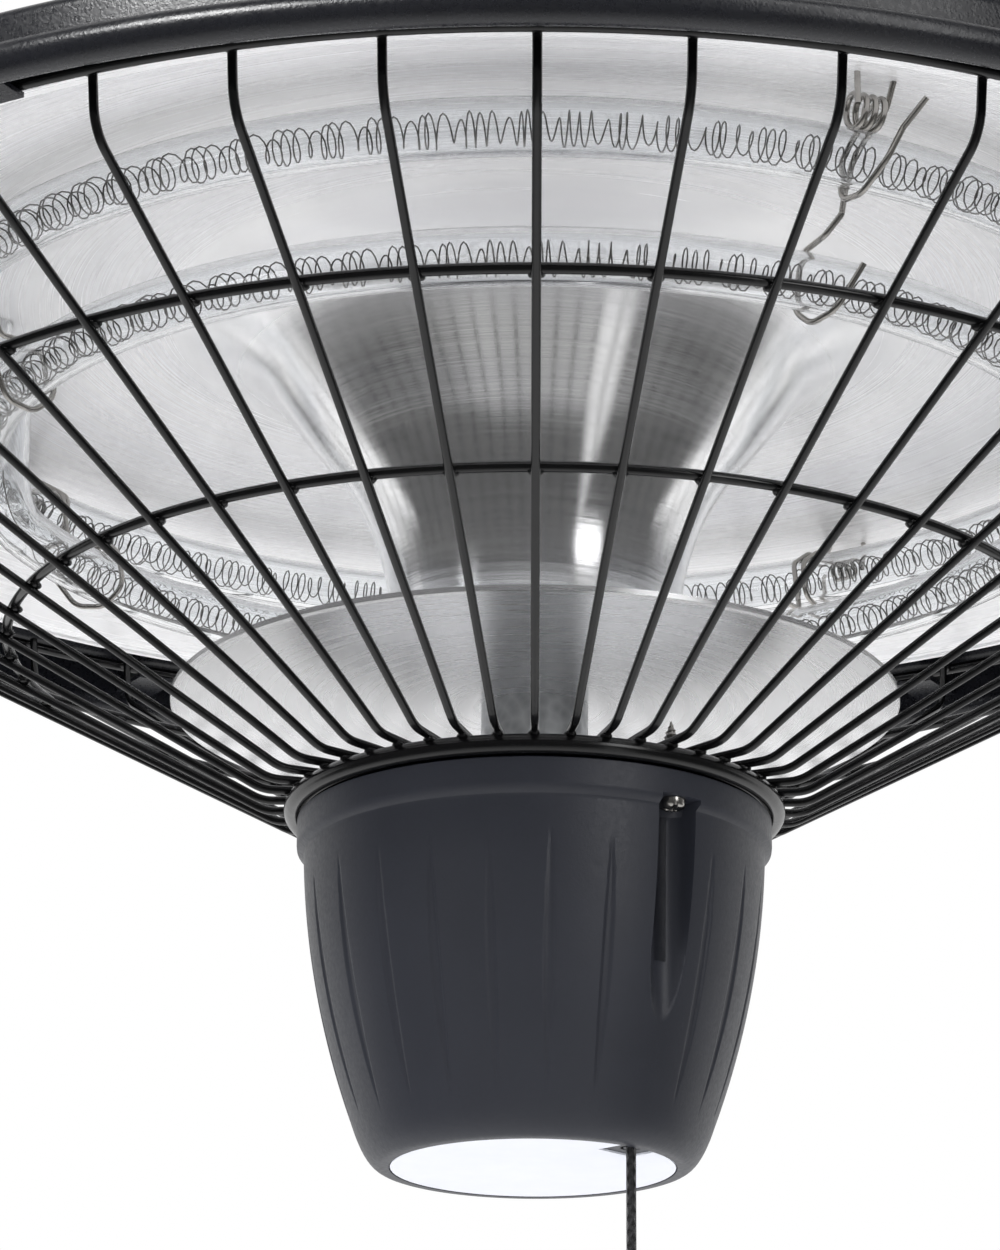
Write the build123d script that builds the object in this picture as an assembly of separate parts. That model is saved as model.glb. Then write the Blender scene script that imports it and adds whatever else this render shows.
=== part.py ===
from build123d import *
from math import cos, sin, radians, pi, sqrt, hypot
import os

os.makedirs("parts", exist_ok=True)

# Ceiling infrared heater. Millimetres, +Z up. The origin is the middle of the hole
# in the hanging lug, and every height below is counted from the top of the ring plate.

# Overall layout
HOOD_TOP_HEIGHT = 147.0        # flat top of the hood above the ring plate
HOOD_DIAMETER = 425.0          # over the rolled bead
LUG_HOLE_RISE = 18.0           # hole of the hanging lug above the hood's top
LUG_HOLE_HEIGHT = HOOD_TOP_HEIGHT + LUG_HOLE_RISE
RIM_RADIUS = HOOD_DIAMETER / 2

# Hood
HOOD_WALL = 1.0
BEAD_DIAMETER = 7.0
HOOD_DEPTH = 65.3              # from the flat top down to the middle of the bead
BEAD_HEIGHT = HOOD_TOP_HEIGHT - HOOD_DEPTH
HOOD_FLAT_RADIUS = 60.0
HOOD_SLOPE_WIDTH = 74.5        # from the crown's turn out to the bead's edge
HOOD_CROWN_RADIUS = RIM_RADIUS - HOOD_SLOPE_WIDTH
HOOD_CROWN_DROP = 17.0
SHOULDER_INSET = 9.0           # shoulder inside the skirt
SHOULDER_RISE = 14.5           # shoulder above the bead
SKIRT_RISE = 12.0

# Reflector
REFLECTOR_WALL = 0.8
REFLECTOR_INSET = 45.5         # air gap between the reflector's lip and the bead's edge
REFLECTOR_LIP_RADIUS = RIM_RADIUS - REFLECTOR_INSET
REFLECTOR_SKIRT_RADIUS = REFLECTOR_LIP_RADIUS - 8.0
DISH_RADIUS = REFLECTOR_SKIRT_RADIUS - 13.0
DISH_DROP = 33.0               # deepest ring of the dish below the hood's top
DISH_INNER_HEIGHT = HOOD_TOP_HEIGHT - DISH_DROP
DISH_OUTER_HEIGHT = DISH_INNER_HEIGHT - 7.5
REFLECTOR_SKIRT_HEIGHT = DISH_OUTER_HEIGHT - 8.0
REFLECTOR_LIP_HEIGHT = BEAD_HEIGHT - 0.9
TRUMPET_MOUTH_RADIUS = 72.0
TRUMPET_NECK_RADIUS = 31.0
TRUMPET_FLARE_RISE = 52.0      # from the straight neck up to the dish
TRUMPET_NECK_HEIGHT = DISH_INNER_HEIGHT - TRUMPET_FLARE_RISE
TRUMPET_BASE_HEIGHT = 30.0

# Quartz tubes and filaments
QUARTZ_DIAMETER = 11.5
QUARTZ_WALL = 1.2
OUTER_RING_INSET = 10.5        # outer tube inside the dish's turned edge
RING_SPACING = 16.5            # outer tube to inner tube, across
RING_STEP = 19.1               # outer tube to inner tube, down
OUTER_RING_RADIUS = DISH_RADIUS - OUTER_RING_INSET
OUTER_RING_HEIGHT = DISH_OUTER_HEIGHT - 12.2
INNER_RING_RADIUS = OUTER_RING_RADIUS - RING_SPACING
INNER_RING_HEIGHT = OUTER_RING_HEIGHT - RING_STEP
RING_END_ANGLE = 176.0         # where the open rings have their two ends
RING_END_GAP = 11.5            # degrees from that line to each bend
LEG_BEND_RADIUS = 12.0
LEG_RISE = 11.5                # end of each leg above the reflector
LEG_TOP_HEIGHT = DISH_OUTER_HEIGHT + LEG_RISE
COIL_RADIUS = 2.9
COIL_WIRE = 0.6
COIL_TURNS_OUTER = 26
COIL_TURNS_INNER = 23
COIL_END_ANGLE = 6.0           # plain lead of the coil past each bend, in degrees
CAP_DIAMETER = 15.0
CAP_HEIGHT = 9.0
CAP_ROOF = 2.5

# Spring clips that carry the tubes
CLIP_WIRE = 1.7
CLIP_ANGLES = (-63.0, 57.0, 145.0, 207.0)
CLIP_LOOPS = 3
CLIP_LOOP_RADIUS = 3.4
CLIP_LOOP_PITCH = 2.4

# Mirror disc, spacers and tie rod
DISC_RADIUS = 77.0
DISC_WALL = 0.8
DISC_DROP = 6.6                # disc below the reflector's base
DISC_HEIGHT = TRUMPET_BASE_HEIGHT - DISC_DROP
SPACER_DIAMETER = 22.6
SPACER_WALL = 1.2
ROD_DIAMETER = 10.0
ROD_BORE = 6.5
ROD_DROP = 12.0                # end of the rod below the ring plate
NUT_FLATS = 17.0
NUT_HEIGHT = 8.0
THREAD_FIT = 0.02

# Grille
RING_PLATE_RADIUS = 50.6       # to the middle of the rolled rim
RING_RIM_DIAMETER = 4.0
RING_PLATE_WALL = 1.5
WIRE_COUNT = 44
WIRE_DIAMETER = 1.8
WIRE_FOOT_INNER = 5.6          # foot of each wire inside the rim
WIRE_FOOT_OUTER = 6.6          # and outside it, up to the lower bend
WIRE_INNER_RADIUS = RING_PLATE_RADIUS - WIRE_FOOT_INNER
WIRE_LOWER_BEND_RADIUS = RING_PLATE_RADIUS + WIRE_FOOT_OUTER
WIRE_RIM_INSET = 21.9          # top of the wires inside the bead's edge
WIRE_TOP_RADIUS = RIM_RADIUS - WIRE_RIM_INSET
WIRE_TOP_HEIGHT = BEAD_HEIGHT + 5.5
WIRE_UPPER_BEND_RADIUS = WIRE_TOP_RADIUS - 1.5
WIRE_UPPER_BEND_HEIGHT = WIRE_TOP_HEIGHT - 11.4
WIRE_BEND = 9.0
HOOP_DIAMETER = 2.2
UPPER_HOOP_RADIUS = WIRE_UPPER_BEND_RADIUS - 36.5
LOWER_HOOP_RADIUS = UPPER_HOOP_RADIUS - 40.9
OUTER_RING_WIRE = 2.5
WELD_GAP = 0.05                # between two welded wires
GRILLE_CLIPS = 6
GRILLE_CLIP_WIDTH = 10.0
GRILLE_CLIP_WALL = 1.0
RIVET_DIAMETER = 3.0
RIVET_HEAD = 4.4
RIVET_HEAD_WALL = 1.0

# Switch housing
FLANGE_RADIUS = RING_PLATE_RADIUS - 0.9
FLANGE_DROP = 8.5
CUP_BOTTOM_DROP = 75.2
CUP_TOP_RADIUS = FLANGE_RADIUS - 1.5
CUP_MIDDLE_RADIUS = CUP_TOP_RADIUS - 3.5
CUP_LOW_RADIUS = CUP_MIDDLE_RADIUS - 8.3
CUP_BOTTOM_RADIUS = CUP_LOW_RADIUS - 6.0
CUP_LOW_DROP = CUP_BOTTOM_DROP - 6.7
CUP_MIDDLE_DROP = CUP_LOW_DROP - 28.5
CUP_WALL = 2.4
FLUTE_COUNT = 24
FLUTE_LENGTH = 50.0
FLUTE_DEPTH = 0.8
FLUTE_HALF_WIDTH = 3.0
FLUTE_LEAN = 7.0
FLUTE_CLEAR_ANGLE = 9.0        # no flute nearer than this to a pocket
POCKET_RADIUS = 4.4
POCKET_CENTRE = CUP_MIDDLE_RADIUS + 1.4
POCKET_TOP_DROP = 7.5
POCKET_BOSS_WALL = 2.0
POCKET_ANGLES = (-53.2, 126.8)
SCREW_DIAMETER = 2.9
SCREW_LENGTH = 16.5
SCREW_POINT = 3.0
SCREW_HEAD_DIAMETER = 5.6
SCREW_HEAD_HEIGHT = 2.2
LABEL_RADIUS = CUP_BOTTOM_RADIUS - 1.2
LABEL_WALL = 0.4
LABEL_RECESS = 0.5

# Pull switch and pull cord
CORD_ANGLE = -43.65            # where the cord leaves, seen from above
CORD_INSET = 3.311             # cord inside the flat of the housing's floor
CORD_REACH = CUP_BOTTOM_RADIUS - CORD_INSET
CORD_X = CORD_REACH * cos(radians(CORD_ANGLE))
CORD_Y = CORD_REACH * sin(radians(CORD_ANGLE))
CORD_DIAMETER = 2.0
CORD_BORE = 3.2
CORD_DROP = 126.0              # end of the cord below the housing
SWITCH_RISE = 26.7             # ferrule's rest above the housing's floor
CORD_TOP_DROP = CUP_BOTTOM_DROP - SWITCH_RISE
BUSH_DIAMETER = 6.4
KNOB_DIAMETER = 13.0
KNOB_HEIGHT = 26.0
FERRULE_DIAMETER = 5.4
FERRULE_HEIGHT = 5.0
LEVER_LENGTH = 20.0
LEVER_SWING = 35.0
LEVER_WALL = 3.0
LEVER_WIDTH = 9.0
LEVER_HOLE = 4.8
LEVER_PIN = 3.0
HUB_DIAMETER = 8.0
FORK_GAP = 0.4
SWITCH_WIDTH = 20.0

# Hanging lug, gland and terminal block
LUG_HOLE = 10.0
LUG_RADIUS = 10.0
LUG_THICKNESS = 5.0
LUG_BASE_DIAMETER = 24.0
LUG_BASE_HEIGHT = 8.5
WASHER_DIAMETER = 30.0
WASHER_WALL = 1.5
GLAND_RADIUS = 38.0
GLAND_THREAD = 12.0
GLAND_BORE = 7.0
GLAND_FLATS = 17.0
BLOCK_LENGTH = 34.0
BLOCK_WIDTH = 18.0
BLOCK_HEIGHT = 13.0
BLOCK_RADIUS = 34.0
BLOCK_SCREW_DIAMETER = 3.0

BASE = -LUG_HOLE_HEIGHT


def up(height):
    return BASE + height


def save(node, *solids):
    shape = solids[0] if len(solids) == 1 else Compound(children=list(solids))
    shape.label = node
    export_step(shape, "parts/" + node + ".step")
    return shape


def ring_of(solid, count, start=0.0):
    return [Rot(0, 0, start + 360.0 * k / count) * solid for k in range(count)]


def tube(radius, wall, low, high):
    outer = Pos(0, 0, low) * extrude(Circle(radius), high - low)
    return outer - Pos(0, 0, low) * extrude(Circle(radius - wall), high - low)


def hex_nut(flats, height, bore):
    body = extrude(RegularPolygon(flats / 2, 6, major_radius=False), height)
    trim = Pos(0, 0, height / 2) * Cylinder(flats / 2 * 1.12, height)
    return (body & trim) - extrude(Circle(bore / 2), height)


def spun(points, radii, wall, side=Side.LEFT):
    line = FilletPolyline(*[(r, z) for r, z in points], radius=radii)
    strip = Wire(line.edges()).offset_2d(wall, side=side, closed=True)
    face = make_face(Plane.XZ * strip)
    return revolve(face, axis=Axis.Z)


def arc_pair(p0, t0, p1, t1):
    # Two arcs that leave p0 along t0 and arrive at p1 along t1
    v = p1 - p0
    t = t0 + t1
    k = 2 * (1 - t0.dot(t1))
    if abs(k) < 1e-9:
        d = v.dot(v) / (4 * v.dot(t1))
    else:
        d = (-v.dot(t) + sqrt(v.dot(t) ** 2 + k * v.dot(v))) / k
    q0 = p0 + t0 * d
    q1 = p1 - t1 * d
    middle = (q0 + q1) * 0.5
    return [
        Edge.make_tangent_arc(p0, t0, middle),
        Edge.make_tangent_arc(middle, (q1 - q0).normalized(), p1),
    ]


def wire_solid(edges, diameter):
    path = Wire(edges)
    start = Plane(origin=path @ 0, z_dir=path % 0)
    return sweep(start * Circle(diameter / 2), path=path)


# Hood: spun steel shade with a rolled bead round its rim
bead_radius = HOOD_DIAMETER / 2 - BEAD_DIAMETER / 2
skirt_radius = bead_radius - BEAD_DIAMETER / 2 + HOOD_WALL
hood_points = [
    (ROD_DIAMETER / 2 + 0.2, up(HOOD_TOP_HEIGHT)),
    (HOOD_FLAT_RADIUS, up(HOOD_TOP_HEIGHT)),
    (HOOD_CROWN_RADIUS, up(HOOD_TOP_HEIGHT - HOOD_CROWN_DROP)),
    (skirt_radius - SHOULDER_INSET, up(BEAD_HEIGHT + SHOULDER_RISE)),
    (skirt_radius, up(BEAD_HEIGHT + SKIRT_RISE)),
    (skirt_radius, up(BEAD_HEIGHT)),
]
hood = spun(hood_points, [40.0, 60.0, 5.0, 3.0], HOOD_WALL, Side.RIGHT)
bead = Pos(0, 0, up(BEAD_HEIGHT)) * Torus(bead_radius, BEAD_DIAMETER / 2)
hood = hood + bead
skirt_inside = skirt_radius - HOOD_WALL
clip_height = BEAD_HEIGHT + BEAD_DIAMETER / 2 + RIVET_HEAD / 2 + 0.2
rivet_hole = Pos(skirt_radius, 0, up(clip_height)) * Rot(0, 90, 0) * Cylinder(RIVET_DIAMETER / 2, 12)
for cut in ring_of(rivet_hole, GRILLE_CLIPS):
    hood -= cut
gland_place = Pos(GLAND_RADIUS, 0, 0)
hood -= gland_place * Pos(0, 0, up(HOOD_TOP_HEIGHT)) * Cylinder(GLAND_THREAD / 2, 8)
block_place = Rot(0, 0, 180) * Pos(BLOCK_RADIUS, 0, 0)
block_screw_x = BLOCK_LENGTH / 2 - 4.0
for side in (-1, 1):
    hole = Pos(0, side * block_screw_x, up(HOOD_TOP_HEIGHT)) * Cylinder(BLOCK_SCREW_DIAMETER / 2 + 0.1, 8)
    hood -= block_place * hole
save("hood", hood)

# Hanging lug: eye nut on the end of the tie rod, with a hole for the ceiling hook
washer_low = HOOD_TOP_HEIGHT
lug_low = washer_low + WASHER_WALL
rod_top = lug_low + LUG_BASE_HEIGHT - 1.0
lug_plane = Plane.XZ.offset(-LUG_THICKNESS / 2)
lug_outline = Circle(LUG_RADIUS) + Pos(0, -LUG_RADIUS / 2) * Rectangle(2 * LUG_RADIUS, LUG_RADIUS)
lug = extrude(lug_plane * lug_outline, LUG_THICKNESS)
lug_base = Pos(0, 0, up(lug_low)) * extrude(Circle(LUG_BASE_DIAMETER / 2), LUG_BASE_HEIGHT)
lug_base = chamfer(lug_base.edges().sort_by(Axis.Z)[-1], 1.2)
lug = lug + lug_base
lug -= extrude(lug_plane * Circle(LUG_HOLE / 2), LUG_THICKNESS)
lug -= Pos(0, 0, up(lug_low)) * extrude(Circle(ROD_DIAMETER / 2 + THREAD_FIT), rod_top - lug_low)
save("hanging_lug", lug)

washer = tube(WASHER_DIAMETER / 2, WASHER_DIAMETER / 2 - ROD_DIAMETER / 2 - 0.2,
              up(washer_low), up(washer_low + WASHER_WALL))
save("lug_washer", washer)

# Tie rod: hollow threaded rod that clamps the whole stack
rod = tube(ROD_DIAMETER / 2, (ROD_DIAMETER - ROD_BORE) / 2, up(-ROD_DROP), up(rod_top))
save("tie_rod", rod)
nut = hex_nut(NUT_FLATS, NUT_HEIGHT, ROD_DIAMETER + 2 * THREAD_FIT)
save("hood_nut", Pos(0, 0, up(HOOD_TOP_HEIGHT - HOOD_WALL - NUT_HEIGHT)) * nut)
reflector_floor = TRUMPET_BASE_HEIGHT + REFLECTOR_WALL
save("reflector_nut", Pos(0, 0, up(reflector_floor)) * nut)
save("base_nut", Pos(0, 0, up(-RING_PLATE_WALL - NUT_HEIGHT)) * nut)

# Reflector: spun aluminium dish with a trumpet down its middle
dish_points = [
    (REFLECTOR_LIP_RADIUS, up(REFLECTOR_LIP_HEIGHT)),
    (REFLECTOR_SKIRT_RADIUS, up(REFLECTOR_SKIRT_HEIGHT)),
    (DISH_RADIUS, up(DISH_OUTER_HEIGHT)),
    (TRUMPET_MOUTH_RADIUS, up(DISH_INNER_HEIGHT)),
    (TRUMPET_NECK_RADIUS, up(TRUMPET_NECK_HEIGHT)),
    (TRUMPET_NECK_RADIUS, up(TRUMPET_BASE_HEIGHT)),
    (ROD_DIAMETER / 2 + 0.2, up(TRUMPET_BASE_HEIGHT)),
]
reflector = spun(dish_points, [8.0, 10.0, 42.0, 60.0, 3.0], REFLECTOR_WALL, Side.RIGHT)


def ring_leg(radius, height, sign):
    angle = RING_END_ANGLE + sign * RING_END_GAP
    on = Vector(radius * cos(radians(angle)), radius * sin(radians(angle)), up(height))
    along = Vector(-sin(radians(angle)), cos(radians(angle)), 0) * sign
    foot = on - along * LEG_BEND_RADIUS
    return on, along, foot


leg_hole = QUARTZ_DIAMETER / 2 + 0.8
for radius, height in ((OUTER_RING_RADIUS, OUTER_RING_HEIGHT), (INNER_RING_RADIUS, INNER_RING_HEIGHT)):
    for sign in (-1, 1):
        on, along, foot = ring_leg(radius, height, sign)
        reflector -= Pos(foot.X, foot.Y, up(DISH_OUTER_HEIGHT)) * Cylinder(leg_hole, 24)
clip_anchor_radius = OUTER_RING_RADIUS + 14.5
for angle in CLIP_ANGLES:
    reflector -= Rot(0, 0, angle) * Pos(clip_anchor_radius, 0, up(DISH_OUTER_HEIGHT)) * Cylinder(
        CLIP_WIRE / 2 + 0.3, 24)
save("reflector", reflector)


# Quartz tubes: open rings whose two ends turn up through the reflector
def ring_path(radius, height, top):
    on0, along0, foot0 = ring_leg(radius, height, 1)
    on1, along1, foot1 = ring_leg(radius, height, -1)
    rise = Vector(0, 0, LEG_BEND_RADIUS)
    far = radians(RING_END_ANGLE + 180.0)
    opposite = Vector(radius * cos(far), radius * sin(far), up(height))
    side = Vector(-sin(far), cos(far), 0)
    edges = [
        Edge.make_line(Vector(foot0.X, foot0.Y, up(top)), foot0 + rise),
        Edge.make_tangent_arc(foot0 + rise, Vector(0, 0, -1), on0),
        Edge.make_tangent_arc(on0, along0, opposite),
        Edge.make_tangent_arc(opposite, side, on1),
        Edge.make_tangent_arc(on1, along1 * -1, foot1 + rise),
        Edge.make_line(foot1 + rise, Vector(foot1.X, foot1.Y, up(top))),
    ]
    return Wire(edges)


def quartz_ring(radius, height):
    wall = Circle(QUARTZ_DIAMETER / 2) - Circle(QUARTZ_DIAMETER / 2 - QUARTZ_WALL)
    on, along, foot = ring_leg(radius, height, 1)
    section = Plane(origin=on, z_dir=along) * wall
    body = revolve(section, axis=Axis.Z, revolution_arc=360.0 - 2 * RING_END_GAP)
    rise = Vector(0, 0, LEG_BEND_RADIUS)
    for sign in (1, -1):
        on, along, foot = ring_leg(radius, height, sign)
        section = Plane(origin=on, z_dir=along) * wall
        turn = Axis(on + rise, Vector(0, 0, 1).cross(along))
        body += revolve(section, axis=turn, revolution_arc=90)
        leg = Plane(origin=foot + rise, z_dir=(0, 0, 1)) * wall
        body += extrude(leg, up(LEG_TOP_HEIGHT) - (foot + rise).Z)
    return body


save("quartz_tube_outer", quartz_ring(OUTER_RING_RADIUS, OUTER_RING_HEIGHT))
save("quartz_tube_inner", quartz_ring(INNER_RING_RADIUS, INNER_RING_HEIGHT))


# Filaments: one unbroken wire each, wound round the line of its tube
def filament(name, radius, height, turns):
    first = RING_END_ANGLE + RING_END_GAP + COIL_END_ANGLE
    last = RING_END_ANGLE + 360.0 - RING_END_GAP - COIL_END_ANGLE
    span = radians(last - first)

    def point(s):
        u = radians(first) + span * s
        w = 2 * pi * turns * s
        reach = radius + COIL_RADIUS * cos(w)
        return Vector(reach * cos(u), reach * sin(u), up(height) + COIL_RADIUS * sin(w))

    def tangent(s):
        step = 1e-5
        return (point(s + step) - point(s - step)).normalized()

    # Straight lead up each leg, its bend, then half turns of the coil
    lead = ring_path(radius, height, LEG_TOP_HEIGHT - 0.05).edges()
    entry = lead[1]
    leave = lead[4]
    halves = 2 * turns
    edges = [lead[0], entry]
    edges += arc_pair(entry @ 1, entry % 1, point(0), tangent(0))
    for k in range(halves):
        s0 = k / halves
        s1 = (k + 1) / halves
        edges += arc_pair(point(s0), tangent(s0), point(s1), tangent(s1))
    edges += arc_pair(point(1), tangent(1), leave @ 0, leave % 0)
    edges += [leave, lead[5]]
    pitch = radius * span / turns
    print(name, "coil pitch", round(pitch, 2), "least gap between turns", round(pitch - COIL_WIRE, 2))
    return wire_solid(edges, COIL_WIRE)


save("filament_outer", filament("filament_outer", OUTER_RING_RADIUS, OUTER_RING_HEIGHT, COIL_TURNS_OUTER))
save("filament_inner", filament("filament_inner", INNER_RING_RADIUS, INNER_RING_HEIGHT, COIL_TURNS_INNER))

# Ceramic caps on the four tube ends, above the reflector
caps = []
cap = Cylinder(CAP_DIAMETER / 2, CAP_HEIGHT, align=(Align.CENTER, Align.CENTER, Align.MIN))
cap = fillet(cap.edges().sort_by(Axis.Z)[-1], 1.5)
cap -= Cylinder(QUARTZ_DIAMETER / 2 + 0.05, CAP_HEIGHT - CAP_ROOF, align=(Align.CENTER, Align.CENTER, Align.MIN))
for radius, height in ((OUTER_RING_RADIUS, OUTER_RING_HEIGHT), (INNER_RING_RADIUS, INNER_RING_HEIGHT)):
    for sign in (-1, 1):
        on, along, foot = ring_leg(radius, height, sign)
        caps.append(Pos(foot.X, foot.Y, up(LEG_TOP_HEIGHT - CAP_HEIGHT + CAP_ROOF)) * cap)
save("ceramic_caps", *caps)


# Spring clips: one bent wire each, with a small coil, hooked under both tubes
def clip_solid():
    gap = QUARTZ_DIAMETER / 2 + CLIP_WIRE / 2 + 0.15
    ro = OUTER_RING_RADIUS
    zo = up(OUTER_RING_HEIGHT)
    ri = INNER_RING_RADIUS
    zi = up(INNER_RING_HEIGHT)
    loop_r = clip_anchor_radius - CLIP_LOOP_RADIUS
    loop_z = zo + 1.0
    quarters = 4 * CLIP_LOOPS
    edges = []

    def turn(k):
        # k counts quarter turns of the coil, from the anchor in the reflector
        a = k * pi / 2
        x = loop_r + CLIP_LOOP_RADIUS * cos(a)
        z = loop_z - CLIP_LOOP_RADIUS * sin(a)
        y = CLIP_LOOP_PITCH * k / 4
        dy = CLIP_LOOP_PITCH / 4 / (CLIP_LOOP_RADIUS * pi / 2) if 0 < k < quarters else 0.0
        return Vector(x, y, z), Vector(-sin(a), dy, -cos(a)).normalized()

    p, t = turn(0)
    top = Vector(p.X, p.Y, up(DISH_OUTER_HEIGHT) + 2.0)
    edges.append(Edge.make_line(top, p))
    for k in range(quarters):
        a, ta = turn(k)
        b, tb = turn(k + 1)
        edges += arc_pair(a, ta, b, tb)
    p, t = turn(quarters)
    y = p.Y
    route = [
        p,
        Vector(p.X, y, zo - 3.4),
        Vector(ro + 2.0, y, zo - gap - 0.9),
        Vector(ro - 7.2, y, zo - gap + 0.4),
        Vector(ri + gap + 0.4, y, zi + 4.0),
        Vector(ri + gap - 0.6, y, zi - 4.4),
        Vector(ri - 1.0, y, zi - gap - 1.4),
        Vector(ri - gap + 0.4, y, zi - 4.0),
        Vector(ri - gap - 2.0, y, zi + 3.5),
    ]
    tail = FilletPolyline(*route, radius=[2.2, 2.6, 2.6, 2.6, 3.0, 3.0, 3.0])
    print("tube_clips least gap between loops", round(CLIP_LOOP_PITCH - CLIP_WIRE, 2))
    return wire_solid(edges + list(tail.edges()), CLIP_WIRE)


clip = clip_solid()
save("tube_clips", *[Rot(0, 0, angle) * clip for angle in CLIP_ANGLES])

# Mirror disc and the two galvanised spacers round the tie rod
disc = tube(DISC_RADIUS, DISC_RADIUS - ROD_DIAMETER / 2 - 0.2, up(DISC_HEIGHT), up(DISC_HEIGHT + DISC_WALL))
save("mirror_disc", disc)
save("lower_spacer", tube(SPACER_DIAMETER / 2, SPACER_WALL, up(0.0), up(DISC_HEIGHT)))
save("upper_spacer", tube(SPACER_DIAMETER / 2, SPACER_WALL, up(DISC_HEIGHT + DISC_WALL), up(TRUMPET_BASE_HEIGHT)))

# Ring plate of the grille, with a rolled rim
ring_plate = tube(RING_PLATE_RADIUS, RING_PLATE_RADIUS - ROD_DIAMETER / 2 - 0.2, up(-RING_PLATE_WALL), up(0.0))
ring_plate += Pos(0, 0, up(0.0)) * Torus(RING_PLATE_RADIUS, RING_RIM_DIAMETER / 2)
for angle in POCKET_ANGLES:
    ring_plate -= Rot(0, 0, angle) * Pos(POCKET_CENTRE, 0, up(0.0)) * Cylinder(SCREW_DIAMETER / 2 + 0.03, 8)
save("grille_ring_plate", ring_plate)

# Grille wires: each bent twice and welded on the rolled rim
wire_low = RING_RIM_DIAMETER / 2 + WIRE_DIAMETER / 2 + WELD_GAP
wire_line = FilletPolyline(
    (WIRE_INNER_RADIUS, up(wire_low)),
    (WIRE_LOWER_BEND_RADIUS, up(wire_low)),
    (WIRE_UPPER_BEND_RADIUS, up(WIRE_UPPER_BEND_HEIGHT)),
    (WIRE_TOP_RADIUS, up(WIRE_TOP_HEIGHT)),
    radius=WIRE_BEND,
)
wire_path = Plane.XZ * Wire(wire_line.edges())
wire = wire_solid(wire_path.edges(), WIRE_DIAMETER)
save("grille_wires", *ring_of(wire, WIRE_COUNT, -90.0))


# Hoops lie inside the wires, square off their slope
def hoop(radius):
    run = WIRE_UPPER_BEND_RADIUS - WIRE_LOWER_BEND_RADIUS
    rise = WIRE_UPPER_BEND_HEIGHT - wire_low
    slope = hypot(run, rise)
    on_wire = wire_low + (radius - WIRE_LOWER_BEND_RADIUS) * rise / run
    off = (HOOP_DIAMETER + WIRE_DIAMETER) / 2 + WELD_GAP
    return Pos(0, 0, up(on_wire + off * slope / run)) * Torus(radius, HOOP_DIAMETER / 2)


save("grille_hoop_upper", hoop(UPPER_HOOP_RADIUS))
save("grille_hoop_lower", hoop(LOWER_HOOP_RADIUS))
outer_ring_radius = WIRE_TOP_RADIUS + (WIRE_DIAMETER + OUTER_RING_WIRE) / 2 + WELD_GAP
outer_ring_height = WIRE_TOP_HEIGHT - OUTER_RING_WIRE / 2 + 0.3
outer_ring = Pos(0, 0, up(outer_ring_height)) * Torus(outer_ring_radius, OUTER_RING_WIRE / 2)
save("grille_outer_ring", outer_ring)

# Clips that hang the outer ring on the hood's skirt, each with one rivet
shelf_top = outer_ring_height - OUTER_RING_WIRE / 2 - 0.05
tab_high = clip_height + RIVET_HEAD / 2 + 0.7
clip_out = skirt_inside - 0.05
clip_face = make_face(Plane.XZ * Polyline(
    (outer_ring_radius - 1.0, up(shelf_top)),
    (clip_out - GRILLE_CLIP_WALL, up(shelf_top)),
    (clip_out - GRILLE_CLIP_WALL, up(tab_high)),
    (clip_out, up(tab_high)),
    (clip_out, up(shelf_top - GRILLE_CLIP_WALL)),
    (outer_ring_radius - 1.0, up(shelf_top - GRILLE_CLIP_WALL)),
    close=True,
))
clip_turn = GRILLE_CLIP_WIDTH / clip_out * 180 / pi
grille_clip = Rot(0, 0, -clip_turn / 2) * revolve(clip_face, axis=Axis.Z, revolution_arc=clip_turn)
grille_clip -= rivet_hole
save("grille_clips", *ring_of(grille_clip, GRILLE_CLIPS))
rivet_out = skirt_radius + 0.15
rivet_in = clip_out - GRILLE_CLIP_WALL - 0.15
rivet_head = extrude(Circle(RIVET_HEAD / 2), RIVET_HEAD_WALL)
rivet_shank = extrude(Circle(RIVET_DIAMETER / 2 - 0.02), rivet_out - rivet_in + 2 * RIVET_HEAD_WALL)
rivet = Pos(0, 0, rivet_in - RIVET_HEAD_WALL) * (rivet_shank + rivet_head)
rivet += Pos(0, 0, rivet_out) * rivet_head
rivet = Pos(0, 0, up(clip_height)) * Rot(0, 90, 0) * rivet
save("grille_rivets", *ring_of(rivet, GRILLE_CLIPS))

# Switch housing: fluted plastic cup with two screw pockets
cup_top = up(-RING_RIM_DIAMETER / 2 - 0.05)


def cup_profile(inset, floor, floor_radius, corner, low):
    with BuildSketch(Plane.XZ) as s:
        with BuildLine():
            Line((0, floor), (floor_radius, floor))
            RadiusArc((floor_radius, floor), (CUP_LOW_RADIUS - inset, up(-CUP_LOW_DROP)), -corner)
            ThreePointArc(
                (CUP_LOW_RADIUS - inset, up(-CUP_LOW_DROP)),
                (CUP_MIDDLE_RADIUS - inset, up(-CUP_MIDDLE_DROP)),
                (CUP_TOP_RADIUS - inset, up(-FLANGE_DROP - 1.0)),
            )
            Polyline(*low)
        make_face()
    return s.sketch


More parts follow.
